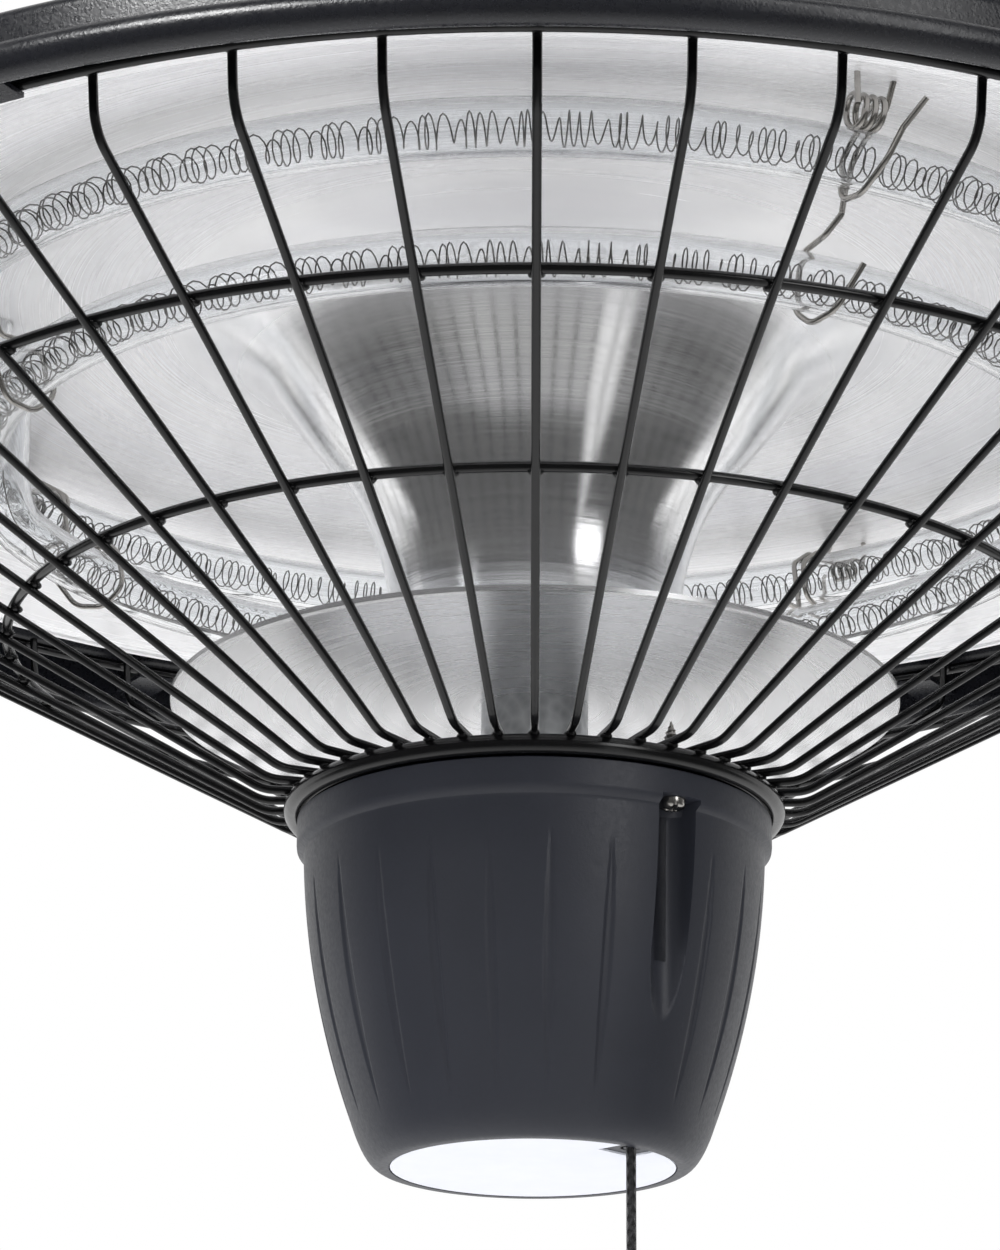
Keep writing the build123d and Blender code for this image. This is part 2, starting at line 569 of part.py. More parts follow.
flange_in = CUP_TOP_RADIUS - CUP_WALL
cup = revolve(cup_profile(0.0, up(-CUP_BOTTOM_DROP), CUP_BOTTOM_RADIUS, 9.0, [
    (CUP_TOP_RADIUS, up(-FLANGE_DROP - 1.0)),
    (FLANGE_RADIUS, up(-FLANGE_DROP)),
    (FLANGE_RADIUS, cup_top),
    (0, cup_top),
    (0, up(-CUP_BOTTOM_DROP)),
]), axis=Axis.Z)
floor_radius = CUP_LOW_RADIUS - CUP_WALL - 3.2
hollow = revolve(cup_profile(CUP_WALL, up(-CUP_BOTTOM_DROP) + CUP_WALL, floor_radius, 5.5, [
    (flange_in, up(-FLANGE_DROP - 1.0)),
    (flange_in, cup_top),
    (0, cup_top),
    (0, up(-CUP_BOTTOM_DROP) + CUP_WALL),
]), axis=Axis.Z)
boss_radius = POCKET_RADIUS + POCKET_BOSS_WALL
boss = Pos(POCKET_CENTRE, 0, cup_top) * Cylinder(
    boss_radius, cup_top - up(-CUP_BOTTOM_DROP), align=(Align.CENTER, Align.CENTER, Align.MAX))
for angle in POCKET_ANGLES:
    hollow -= Rot(0, 0, angle) * boss
cup -= hollow
pocket_length = CUP_BOTTOM_DROP
pocket = Pos(POCKET_CENTRE, 0, up(-POCKET_TOP_DROP)) * Cylinder(
    POCKET_RADIUS, pocket_length, align=(Align.CENTER, Align.CENTER, Align.MAX))
screw_hole = Pos(POCKET_CENTRE, 0, cup_top) * Cylinder(SCREW_DIAMETER / 2 + 0.03, 30)
for angle in POCKET_ANGLES:
    cup -= Rot(0, 0, angle) * pocket
    cup -= Rot(0, 0, angle) * screw_hole

# Flutes: spear-shaped grooves cut by a slim spindle that leans with the wall
half = FLUTE_LENGTH / 2
spindle_face = make_face([
    ThreePointArc((0, -half), (FLUTE_HALF_WIDTH, 0), (0, half)).edge(),
    Line((0, half), (0, -half)).edge(),
])
spindle = revolve(Plane.XZ * spindle_face, axis=Axis.Z)
spindle = Pos(CUP_MIDDLE_RADIUS + FLUTE_HALF_WIDTH - FLUTE_DEPTH, 0, up(-CUP_MIDDLE_DROP - 1.5)) * Rot(
    0, FLUTE_LEAN, 0) * spindle
for k in range(FLUTE_COUNT):
    turn_to = -90.0 + 4.0 + 360.0 * k / FLUTE_COUNT
    near = min(abs((turn_to - angle + 180.0) % 360.0 - 180.0) for angle in POCKET_ANGLES)
    if near > FLUTE_CLEAR_ANGLE:
        cup -= Rot(0, 0, turn_to) * spindle
recess_low = up(-CUP_BOTTOM_DROP)
cup -= Pos(0, 0, recess_low) * extrude(Circle(LABEL_RADIUS + 0.2), LABEL_RECESS)
cup -= Pos(CORD_X, CORD_Y, recess_low) * Cylinder(BUSH_DIAMETER / 2 - 1.0, 12)
save("switch_housing", cup)

# Two self-tapping screws, up through the housing and the ring plate
screw_low = -POCKET_TOP_DROP
screw = Pos(0, 0, up(screw_low)) * Cylinder(
    SCREW_DIAMETER / 2, SCREW_LENGTH - SCREW_POINT, align=(Align.CENTER, Align.CENTER, Align.MIN))
screw += Pos(0, 0, up(screw_low + SCREW_LENGTH - SCREW_POINT)) * Cone(
    SCREW_DIAMETER / 2, 0.4, SCREW_POINT, align=(Align.CENTER, Align.CENTER, Align.MIN))
head = Cylinder(SCREW_HEAD_DIAMETER / 2, SCREW_HEAD_HEIGHT, align=(Align.CENTER, Align.CENTER, Align.MAX))
head = fillet(head.edges().sort_by(Axis.Z)[0], 1.0)
cross = Pos(0, 0, -SCREW_HEAD_HEIGHT) * (Box(3.0, 0.8, 2.0) + Box(0.8, 3.0, 2.0))
head -= cross
screw += Pos(0, 0, up(screw_low)) * head
save("housing_screws", *[Rot(0, 0, angle) * Pos(POCKET_CENTRE, 0, 0) * screw for angle in POCKET_ANGLES])

# Bare label disc under the housing, with a straight notch at the cord
label = Pos(0, 0, recess_low + LABEL_RECESS - LABEL_WALL) * extrude(Circle(LABEL_RADIUS), LABEL_WALL)
label -= Pos(CORD_X, CORD_Y, recess_low) * Rot(0, 0, CORD_ANGLE) * Pos(4.0, 0, 0) * Box(17.0, 9.6, 4.0)
save("housing_label", label)

# Bush in the floor of the housing, round the cord
floor_top = recess_low + CUP_WALL
bush_low = recess_low + LABEL_RECESS
cord_place = Pos(CORD_X, CORD_Y, 0)
bush = Pos(0, 0, bush_low) * extrude(Circle(BUSH_DIAMETER / 2 - 1.05), floor_top - bush_low + 0.05)
bush += Pos(0, 0, floor_top + 0.05) * extrude(Circle(BUSH_DIAMETER / 2), 1.2)
bush -= Pos(0, 0, bush_low) * extrude(Circle(CORD_BORE / 2), 6)
save("cord_bush", cord_place * bush)

# Pull switch: body with a fork, a lever on a pin, and a spring sleeve
lift = radians(LEVER_SWING / 2)
pivot_reach = CORD_REACH - LEVER_LENGTH * (1 + cos(lift)) / 2
lever_place = Rot(0, 0, CORD_ANGLE)
pivot_height = -CORD_TOP_DROP - LEVER_LENGTH * sin(lift) - FERRULE_HEIGHT + 2.0
body_low = floor_top
slot_width = LEVER_WIDTH + 2 * FORK_GAP
body_high = up(pivot_height) + 6.5
body_in = pivot_reach - 13.0
body_out = pivot_reach + 5.0
switch_body = Pos((body_in + body_out) / 2, 0, (body_low + body_high) / 2) * Box(
    body_out - body_in, SWITCH_WIDTH, body_high - body_low)
slot = Pos(pivot_reach, 0, up(pivot_height)) * Box(30.0, slot_width, 40.0)
slot_keep = Pos(pivot_reach - 13.0, 0, up(pivot_height)) * Box(14.0, slot_width, 60.0)
slot_floor = Pos(pivot_reach, 0, up(pivot_height) - 25.0) * Box(60.0, slot_width, 30.0)
switch_body -= slot - slot_keep - slot_floor
pin_hole = Pos(pivot_reach, 0, up(pivot_height)) * Rot(90, 0, 0) * Cylinder(LEVER_PIN / 2 + 0.01, SWITCH_WIDTH)
switch_body -= pin_hole
save("switch_body", lever_place * switch_body)
pin = Pos(pivot_reach, 0, up(pivot_height)) * Rot(90, 0, 0) * Cylinder(LEVER_PIN / 2, SWITCH_WIDTH)
save("lever_pin", lever_place * pin)

arm = Pos(LEVER_LENGTH / 2, 0, 0) * Box(LEVER_LENGTH, 6.0, LEVER_WALL)
arm += Pos(LEVER_LENGTH, 0, 0) * Cylinder(LEVER_WIDTH / 2, LEVER_WALL)
arm += Rot(90, 0, 0) * Cylinder(HUB_DIAMETER / 2, LEVER_WIDTH)
arm -= Rot(90, 0, 0) * Cylinder(LEVER_PIN / 2 + 0.05, LEVER_WIDTH)
arm -= Pos(LEVER_LENGTH, 0, 0) * Cylinder(LEVER_HOLE / 2, LEVER_WALL)
lever = Pos(pivot_reach, 0, up(pivot_height)) * Rot(0, -LEVER_SWING / 2, 0) * arm
save("switch_lever", lever_place * lever)

# Pull cord with its ferrule above the lever and its knob at the free end
lever_end_top = pivot_height + LEVER_LENGTH * sin(lift) + LEVER_WALL / 2 * cos(lift) + FERRULE_DIAMETER / 2 * sin(lift)
ferrule_low = lever_end_top + 0.3
cord_end = -CUP_BOTTOM_DROP - CORD_DROP
cord_top = ferrule_low + FERRULE_HEIGHT - 1.0
cord = Pos(0, 0, up(cord_end)) * extrude(Circle(CORD_DIAMETER / 2), cord_top - cord_end)
save("pull_cord", cord_place * cord)
ferrule = Pos(0, 0, up(ferrule_low)) * extrude(Circle(FERRULE_DIAMETER / 2), FERRULE_HEIGHT)
ferrule -= Pos(0, 0, up(ferrule_low)) * extrude(Circle(CORD_DIAMETER / 2 + 0.01), FERRULE_HEIGHT - 1.0)
save("cord_ferrule", cord_place * ferrule)
knob_top = cord_end + 12.0
with BuildSketch(Plane.XZ) as knob_half:
    with BuildLine():
        Polyline((0, up(knob_top)), (2.4, up(knob_top)), (3.0, up(knob_top - 2.0)))
        ThreePointArc(
            (3.0, up(knob_top - 2.0)),
            (4.4, up(knob_top - KNOB_HEIGHT * 0.5)),
            (KNOB_DIAMETER / 2, up(knob_top - KNOB_HEIGHT + 3.0)),
        )
        Polyline(
            (KNOB_DIAMETER / 2, up(knob_top - KNOB_HEIGHT + 3.0)),
            (KNOB_DIAMETER / 2 - 1.4, up(knob_top - KNOB_HEIGHT)),
            (0, up(knob_top - KNOB_HEIGHT)),
            (0, up(knob_top)),
        )
    make_face()
knob = revolve(knob_half.sketch, axis=Axis.Z)
knob -= Pos(0, 0, up(cord_end)) * extrude(Circle(CORD_DIAMETER / 2 + 0.01), 20.0)
save("pull_knob", cord_place * knob)

# Cable gland in the hood's top, with its locknut inside
gland = extrude(RegularPolygon(GLAND_FLATS / 2, 6, major_radius=False), 5.0)
gland += Pos(0, 0, 5.0) * Cylinder(7.6, 2.0, align=(Align.CENTER, Align.CENTER, Align.MIN))
gland += Pos(0, 0, 7.0) * Cone(8.0, 5.6, 9.0, align=(Align.CENTER, Align.CENTER, Align.MIN))
gland += Cylinder(GLAND_THREAD / 2 - 0.05, 9.0, align=(Align.CENTER, Align.CENTER, Align.MAX))
gland -= Cylinder(GLAND_BORE / 2, 60.0)
save("cable_gland", gland_place * Pos(0, 0, up(HOOD_TOP_HEIGHT)) * gland)
gland_nut = hex_nut(GLAND_FLATS, 4.0, GLAND_THREAD)
save("gland_nut", gland_place * Pos(0, 0, up(HOOD_TOP_HEIGHT - HOOD_WALL - 4.0)) * gland_nut)

# Terminal block under the hood's top, with its two screws
block_top = up(HOOD_TOP_HEIGHT - HOOD_WALL)
block = Pos(0, 0, block_top - BLOCK_HEIGHT / 2) * Box(BLOCK_WIDTH, BLOCK_LENGTH, BLOCK_HEIGHT)
for k in (-1, 0, 1):
    entry = Pos(0, 7.5 * k, block_top - BLOCK_HEIGHT / 2 - 1.0) * Rot(0, 90, 0) * Cylinder(1.8, BLOCK_WIDTH)
    block -= entry
for side in (-1, 1):
    block -= Pos(0, side * block_screw_x, block_top) * Cylinder(BLOCK_SCREW_DIAMETER / 2 + 0.1, 3 * BLOCK_HEIGHT)
save("terminal_block", block_place * block)
block_screws = []
block_screw = Cylinder(BLOCK_SCREW_DIAMETER / 2, BLOCK_HEIGHT + HOOD_WALL, align=(Align.CENTER, Align.CENTER, Align.MAX))
block_screw += Cylinder(2.8, 1.8, align=(Align.CENTER, Align.CENTER, Align.MIN))
for side in (-1, 1):
    block_screws.append(block_place * Pos(0, side * block_screw_x, up(HOOD_TOP_HEIGHT)) * block_screw)
save("block_screws", *block_screws)
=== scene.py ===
import bpy
from math import ceil, cos, hypot, pi, radians, sin, sqrt
from mathutils import Matrix, Vector


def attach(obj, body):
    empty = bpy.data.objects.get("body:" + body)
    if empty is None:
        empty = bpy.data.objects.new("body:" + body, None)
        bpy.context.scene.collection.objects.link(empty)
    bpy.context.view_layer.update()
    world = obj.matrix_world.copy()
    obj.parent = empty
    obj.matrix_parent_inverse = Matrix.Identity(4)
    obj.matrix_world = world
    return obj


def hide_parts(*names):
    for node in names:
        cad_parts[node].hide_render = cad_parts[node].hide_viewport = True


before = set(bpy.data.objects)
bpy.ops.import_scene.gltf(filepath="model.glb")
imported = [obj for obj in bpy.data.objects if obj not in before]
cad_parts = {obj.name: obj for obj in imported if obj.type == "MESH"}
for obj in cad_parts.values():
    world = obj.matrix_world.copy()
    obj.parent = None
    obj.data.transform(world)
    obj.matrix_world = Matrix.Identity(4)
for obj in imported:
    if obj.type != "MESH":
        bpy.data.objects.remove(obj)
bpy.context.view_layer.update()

# Hood: steel sheet spun to a shallow bell, with its edge rolled outwards into
# a hollow bead. Powder coated, so it has a fine grain that sparkles where a
# lamp is mirrored. Heights here and below are millimetres above the ring plate.
MM = 0.001
RING_PLATE_Z = -165.0
TIE_HOLE = 5.2
HOOD_TOP, HOOD_WALL = 147.0, 1.0
BEAD_R, BEAD_Z, BEAD = 209.0, 81.7, 3.5
BEAD_SEAM_DEPTH, BEAD_SEAM_AT, BEAD_SEAM_WIDTH = 0.35, radians(100), 0.18
SKIRT_R = BEAD_R - BEAD + 1.0
ROUND_COLUMNS = 360


def linear(hex_colour):
    """An sRGB hex colour as the linear values that a shader takes."""
    out = []
    for i in (0, 2, 4):
        c = int(hex_colour[i:i + 2], 16) / 255
        out.append(c / 12.92 if c <= 0.04045 else ((c + 0.055) / 1.055) ** 2.4)
    return (*out, 1.0)


def feed(tree, made, inputs):
    """Sets a node's inputs, each to a value, a socket, or the first output of another node."""
    for key, value in inputs.items():
        if isinstance(value, bpy.types.Node):
            value = value.outputs[0]
        if isinstance(value, bpy.types.NodeSocket):
            tree.links.new(value, made.inputs[key])
        else:
            made.inputs[key].default_value = value


def add_node(tree, kind, inputs=None, **settings):
    """One node with its settings and its links."""
    made = tree.nodes.new(kind)
    for key, value in settings.items():
        setattr(made, key, value)
    feed(tree, made, inputs or {})
    return made


def new_material(name):
    material = bpy.data.materials.new(name)
    material.use_nodes = True
    tree = material.node_tree
    coords = tree.nodes.new("ShaderNodeTexCoord").outputs["Object"]
    return material, tree, tree.nodes["Principled BSDF"], coords


def surface(name, colours, patch, roughness, fine, relief=None, **plain):
    """A surface whose colour and roughness each wander between two values.

    patch and fine are the widths of those patches in mm. relief is the grain's
    width in mm, its detail, its strength and its depth in mm.
    """
    material, tree, shader, coords = new_material(name)
    patches = add_node(tree, "ShaderNodeTexNoise", {
        "Vector": coords, "Scale": 1 / (patch * MM), "Detail": 4.0, "Roughness": 0.55})
    colour = add_node(tree, "ShaderNodeMix", {
        0: patches, 6: linear(colours[0]), 7: linear(colours[1])}, data_type="RGBA")
    grain = add_node(tree, "ShaderNodeTexNoise", {
        "Vector": coords, "Scale": 1 / (fine * MM), "Detail": 4.0, "Roughness": 0.55})
    rough = add_node(tree, "ShaderNodeMapRange", {
        0: grain, 1: 0.3, 2: 0.7, 3: roughness[0], 4: roughness[1]})
    feed(tree, shader, {"Base Color": colour.outputs[2], "Roughness": rough, **plain})
    if relief:
        width, detail, strength, depth = relief
        bumps = add_node(tree, "ShaderNodeTexNoise", {
            "Vector": coords, "Scale": 1 / (width * MM), "Detail": detail, "Roughness": 0.55})
        bump = add_node(tree, "ShaderNodeBump", {
            "Height": bumps, "Strength": strength, "Distance": depth * MM})
        feed(tree, shader, {"Normal": bump})
    return material


def rounded(points, radii, step=6.0):
    """Points of a polyline whose corners are rounded, with one radius for each inner corner."""
    out = [Vector(points[0])]
    for i in range(1, len(points) - 1):
        a, b, c = Vector(points[i - 1]), Vector(points[i]), Vector(points[i + 1])
        u, v = (a - b).normalized(), (c - b).normalized()
        half = u.angle(v) / 2
        reach = radii[i - 1] / (sin(half) / cos(half))
        middle = b + (u + v).normalized() * (radii[i - 1] / sin(half))
        start, end = b + u * reach - middle, b + v * reach - middle
        turn = start.angle(end)
        count = max(2, ceil(turn / radians(step)))
        for k in range(count + 1):
            s = k / count
            w0, w1 = sin((1 - s) * turn) / sin(turn), sin(s * turn) / sin(turn)
            out.append(middle + start * w0 + end * w1)
    out.append(Vector(points[-1]))
    return out


def sheet(line, wall):
    """A closed profile: the line, and the same line moved sideways by the wall's thickness."""
    other = []
    for i, p in enumerate(line):
        t = Vector(line[min(i + 1, len(line) - 1)]) - Vector(line[max(i - 1, 0)])
        t.normalize()
        other.append(p + Vector((t.y, -t.x)) * wall)
    return line + list(reversed(other))


def make_mesh(name, verts, faces, material, sharp=40.0):
    data = bpy.data.meshes.new(name)
    data.from_pydata([tuple(v) for v in verts], [], faces)
    data.validate()
    data.shade_smooth()
    data.set_sharp_from_angle(angle=radians(sharp))
    data.materials.append(material)
    obj = bpy.data.objects.new(name, data)
    bpy.context.scene.collection.objects.link(obj)
    return obj


def grid_faces(rows, columns, closed_rows=False):
    """Four-sided faces between rows of points, each row closed on itself."""
    faces = []
    for i in range(rows if closed_rows else rows - 1):
        for j in range(columns):
            a, b = i * columns + j, i * columns + (j + 1) % columns
            c, d = ((i + 1) % rows) * columns + (j + 1) % columns, ((i + 1) % rows) * columns + j
            faces.append((a, b, c, d))
    return faces


def lathe(name, profile, material, columns=256, sharp=40.0, change=None):
    """Turns a closed profile of (radius, height) about the axis. change(r, angle, z) bends the radius."""
    verts = []
    for r, z in profile:
        for k in range(columns):
            a = 2 * pi * k / columns
            q = change(r, a, z) if change else r
            verts.append(Vector((q * cos(a), q * sin(a), RING_PLATE_Z + z)) * MM)
    return make_mesh(name, verts, grid_faces(len(profile), columns, True), material, sharp)


def fit(piece, body="heater", stands_for=None):
    """Puts a finished piece under its body's empty and hides the CAD node that it stands for."""
    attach(piece, body)
    if stands_for:
        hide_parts(stands_for)


# Baked powder: satin black that sparkles. Its grain is drawn coarser than real, so that it shows
POWDER_COAT = surface("hood_powder_coat", ("131418", "1b1c21"), 16.667, (0.22, 0.36), 1.1111,
                      (0.58824, 2.0, 0.8, 0.07))
hood_line = rounded([
    (TIE_HOLE, HOOD_TOP), (60.0, HOOD_TOP), (138.0, 130.0), (SKIRT_R - 9.0, BEAD_Z + 14.5),
    (SKIRT_R, BEAD_Z + 12.0), (SKIRT_R, BEAD_Z + 1.0)], [40.0, 60.0, 5.0, 3.0], 2.0)
flat_top = [hood_line[0].lerp(hood_line[1], k / 4) for k in (1, 2, 3)]
hood_line[1:1] = flat_top
hood = lathe("hood_shell", sheet(hood_line, HOOD_WALL), POWDER_COAT, ROUND_COLUMNS)
fit(hood, stands_for="hood")
bead_loop = []
for k in range(36):
    a = 2 * pi * k / 36
    r = BEAD - BEAD_SEAM_DEPTH * max(0.0, 1 - abs(a - BEAD_SEAM_AT) / BEAD_SEAM_WIDTH)
    bead_loop.append((BEAD_R + r * cos(a), BEAD_Z + r * sin(a)))
bead = lathe("hood_bead", bead_loop, POWDER_COAT, ROUND_COLUMNS)
fit(bead)

# Reflector: aluminium sheet spun to a shallow dish, with a trumpet down its
# middle that stands on the stack of spacers. The spinning leaves fine lines
# round the axis. The dish is satin and pale, and the trumpet burnished.
REFLECTOR_WALL = 0.8
NECK_R, NECK_FOOT = 31.0, 30.0
LIP_R, LIP_Z, LIP = 186.8, 88.5, 0.7


def turned_coords(tree, coords, line, stretch):
    """Coordinates that change fast across the spun lines, which are line mm wide, and slowly along them."""
    x, y, z = add_node(tree, "ShaderNodeSeparateXYZ", {0: coords}).outputs
    xx = add_node(tree, "ShaderNodeMath", {0: x, 1: x}, operation="MULTIPLY")
    yy = add_node(tree, "ShaderNodeMath", {0: y, 1: y}, operation="MULTIPLY")
    square = add_node(tree, "ShaderNodeMath", {0: xx, 1: yy}, operation="ADD")
    radius = add_node(tree, "ShaderNodeMath", {0: square}, operation="SQRT")
    angle = add_node(tree, "ShaderNodeMath", {0: y, 1: x}, operation="ARCTAN2")
    sine = add_node(tree, "ShaderNodeMath", {0: angle}, operation="SINE")
    cosine = add_node(tree, "ShaderNodeMath", {0: angle}, operation="COSINE")
    outward = add_node(tree, "ShaderNodeMath", {0: radius, 1: 1 / (line * MM)}, operation="MULTIPLY")
    along = add_node(tree, "ShaderNodeMath", {0: sine, 1: stretch}, operation="MULTIPLY")
    upward = add_node(tree, "ShaderNodeMath", {0: z, 1: 1 / (line * MM), 2: cosine},
                      operation="MULTIPLY_ADD")
    return add_node(tree, "ShaderNodeCombineXYZ", {0: outward, 1: along, 2: upward}), radius


def spun_aluminium():
    """Bright metal with lines from the spinning tool, drawn about 1 mm wide so that they show."""
    material, tree, shader, coords = new_material("spun_aluminium")
    fine_coords, radius = turned_coords(tree, coords, 1.1111, 0.35)
    broad_coords, radius = turned_coords(tree, coords, 11.111, 0.6)
    lines = add_node(tree, "ShaderNodeTexNoise", {
        "Vector": fine_coords, "Scale": 1.0, "Detail": 5.0, "Roughness": 0.7})
    broad = add_node(tree, "ShaderNodeTexNoise", {
        "Vector": broad_coords, "Scale": 1.0, "Detail": 3.0, "Roughness": 0.55})
    tone = add_node(tree, "ShaderNodeMapRange", {0: broad, 1: 0.3, 2: 0.7})
    colour = add_node(tree, "ShaderNodeMix", {0: tone, 6: linear("f6f6f8"), 7: linear("fefefe")},
                      data_type="RGBA")
    # Satin from the trumpet's flare outwards, by radius in metres
    satin = add_node(tree, "ShaderNodeMapRange", {0: radius, 1: 0.052, 2: 0.085})
    metallic = add_node(tree, "ShaderNodeMapRange", {0: satin, 3: 0.97, 4: 0.16})
    burnish = add_node(tree, "ShaderNodeMapRange", {0: lines, 1: 0.3, 2: 0.7, 3: 0.1, 4: 0.2})
    rough = add_node(tree, "ShaderNodeMath", {0: satin, 1: 0.12, 2: burnish}, operation="MULTIPLY_ADD")
    tangent = add_node(tree, "ShaderNodeTangent", direction_type="RADIAL", axis="Z")
    bump = add_node(tree, "ShaderNodeBump", {"Height": lines, "Strength": 0.08, "Distance": 0.4 * MM})
    feed(tree, shader, {
        "Base Color": colour.outputs[2], "Metallic": metallic, "Roughness": rough, "Anisotropic": 0.5,
        "Anisotropic Rotation": 0.25, "Tangent": tangent, "Normal": bump})
    return material


def wire_profile(r, z, radius, count=20):
    """A wire's round section, as a profile for the lathe."""
    turns = [2 * pi * k / count for k in range(count)]
    return [(r + radius * cos(a), z + radius * sin(a)) for a in turns]


SPUN = spun_aluminium()
dish_line = rounded([
    (LIP_R - 0.2, LIP_Z + 0.1), (183.0, 88.9), (160.0, 103.4), (146.0, 106.5), (72.0, 114.0),
    (NECK_R, 62.0), (NECK_R, NECK_FOOT), (TIE_HOLE, NECK_FOOT)], [1.5, 14.0, 16.0, 42.0, 60.0, 3.0], 2.0)
reflector = lathe("reflector_dish", sheet(dish_line, REFLECTOR_WALL), SPUN, ROUND_COLUMNS)
fit(reflector, stands_for="reflector")
fit(lathe("reflector_lip", wire_profile(LIP_R, LIP_Z, LIP, 12), SPUN, ROUND_COLUMNS))

# Quartz rings: clear fused tubes, drawn and bent to a ring with both ends
# turned up through the reflector. In each lies resistance wire wound to a
# loose coil, with a tight loop now and then where the winding was stretched.
RINGS = (("outer", 135.5, 94.3), ("inner", 119.0, 75.2))
TUBE, TUBE_BORE = 5.75, 4.55
GAP_AT, HALF_GAP, BEND, LEG_TOP = 176.0, 11.5, 12.0, 118.0
BEND_STEPS, RING_STEPS = 8, 180
COIL_R, COIL_PITCH, COIL_WIRE, COIL_SAG, COIL_FROM_BEND = 3.2, 2.3, 0.17, 0.5, 6.0


def place(r, angle, height):
    """A point by its radius and height in mm and its angle in degrees."""
    a = radians(angle)
    return Vector((r * cos(a), r * sin(a), RING_PLATE_Z + height)) * MM


def ring_path(radius, height):
    """Up one leg, round the ring and up the other leg."""
    legs = []
    for sign in (1, -1):
        angle = GAP_AT + sign * HALF_GAP
        along = Vector((-sin(radians(angle)), cos(radians(angle)), 0)) * sign
        foot = place(radius, angle, height) - along * BEND * MM
        leg = [Vector((foot.x, foot.y, (RING_PLATE_Z + LEG_TOP) * MM))]
        for k in range(BEND_STEPS + 1):
            a = k / BEND_STEPS * pi / 2
            leg.append(foot + along * BEND * MM * (1 - cos(a)) + Vector((0, 0, BEND * MM * (1 - sin(a)))))
        legs.append(leg)
    first, turn = GAP_AT + HALF_GAP, 360.0 - 2 * HALF_GAP
    middle = [place(radius, first + turn * k / RING_STEPS, height) for k in range(1, RING_STEPS)]
    return legs[0], middle, list(reversed(legs[1]))


def coil_path(radius, height):
    """The wound wire, with straight tails up both legs."""
    up, middle, down = ring_path(radius, height)
    first = radians(GAP_AT + HALF_GAP + COIL_FROM_BEND)
    span = 2 * pi - 2 * radians(HALF_GAP + COIL_FROM_BEND)
    turns = int(radius * span / COIL_PITCH)
    steps = turns * 12
    line = list(up)
    for k in range(steps + 1):
        s = k / steps
        w = 2 * pi * turns * s
        tight = max(0.0, cos(w / 4.0)) ** 4
        wide = COIL_R * (1.04 - 0.46 * tight + 0.06 * sin(w / 2.6 + 1.0))
        a = first + span * s + 0.0042 * sin(w / 4.0 + 0.8) + 0.0016 * sin(w * 0.38)
        r = radius + wide * cos(w)
        line.append(Vector((r * cos(a), r * sin(a), RING_PLATE_Z + height - COIL_SAG + wide * sin(w))) * MM)
    return line + down


def tube(name, path, radius, material, sides=12, bore=0.0):
    """A round wire or pipe along a path in metres; its radius and bore are in mm."""
    side = (path[1] - path[0]).orthogonal().normalized()
    axes = []
    for i in range(len(path)):
        t = (path[min(i + 1, len(path) - 1)] - path[max(i - 1, 0)]).normalized()
        side = (side - t * side.dot(t)).normalized()
        axes.append((side, t.cross(side)))
    verts, faces = [], []
    rows = len(path)
    for r in (radius, bore) if bore else (radius,):
        start = len(verts)
        for p, (u, v) in zip(path, axes):
            for k in range(sides):
                a = 2 * pi * k / sides
                verts.append(p + (u * cos(a) + v * sin(a)) * r * MM)
        for f in grid_faces(rows, sides):
            faces.append(tuple(start + i for i in (reversed(f) if r == bore else f)))
    last = (rows - 1) * sides
    if not bore:
        faces += [tuple(reversed(range(sides))), tuple(range(last, last + sides))]
        return make_mesh(name, verts, faces, material, 60.0)
    inner = rows * sides
    for row, flip in ((0, True), (last, False)):
        for k in range(sides):
            a, b = row + k, row + (k + 1) % sides
            faces.append((a, inner + a, inner + b, b) if flip else (a, b, inner + b, inner + a))
    return make_mesh(name, verts, faces, material, 60.0)


def fused_quartz():
    """Clear, smooth glass that is slightly wavy from the drawing."""
    material, tree, shader, coords = new_material("fused_quartz")
    haze = add_node(tree, "ShaderNodeTexNoise", {
        "Vector": coords, "Scale": 1 / (11.111 * MM), "Detail": 2.0, "Roughness": 0.55})
    rough = add_node(tree, "ShaderNodeMapRange", {0: haze, 1: 0.35, 2: 0.7, 3: 0.0, 4: 0.03})
    waves = add_node(tree, "ShaderNodeTexNoise", {
        "Vector": coords, "Scale": 1 / (16.667 * MM), "Detail": 1.0, "Roughness": 0.55})
    bump = add_node(tree, "ShaderNodeBump", {"Height": waves, "Strength": 0.03, "Distance": 0.6 * MM})
    feed(tree, shader, {
        "Base Color": linear("fbfcfd"), "Transmission Weight": 1.0, "IOR": 1.46,
        "Roughness": rough, "Normal": bump})
    return material


QUARTZ = fused_quartz()
# Drawn resistance wire with its dull grey oxide
OXIDISED_WIRE = surface("oxidised_resistance_wire", ("4c4a48", "76736f"), 3.3333, (0.35, 0.5), 2.0,
                        Metallic=0.8)
for name, radius, height in RINGS:
    up, middle, down = ring_path(radius, height)
    glass = tube("quartz_ring_" + name, up + middle + down, TUBE, QUARTZ, 32, TUBE_BORE)
    fit(glass, stands_for="quartz_tube_" + name)
    coil = tube("coil_" + name, coil_path(radius, height), COIL_WIRE, OXIDISED_WIRE, 5)
    fit(coil, stands_for="filament_" + name)

# Spring clips: stainless wire, hooked through the reflector. One wire is wound
# to a small spring and goes under the outer tube, the other reaches down round
# the inner tube. Drawn wire, so it shines with a warm grey.
CLIP_ANGLES = (-66.0, 57.0, 145.0, 207.0)
CLIP_WIRE = 0.62
LOOP_AT, LOOP_Z, LOOP, LOOP_PITCH, LOOP_TURNS = 144.6, 99.5, 3.2, 1.9, 3 + 5 / 16
HOOK_TOP, LONG_WIRE_ASIDE = 108.0, 2.4


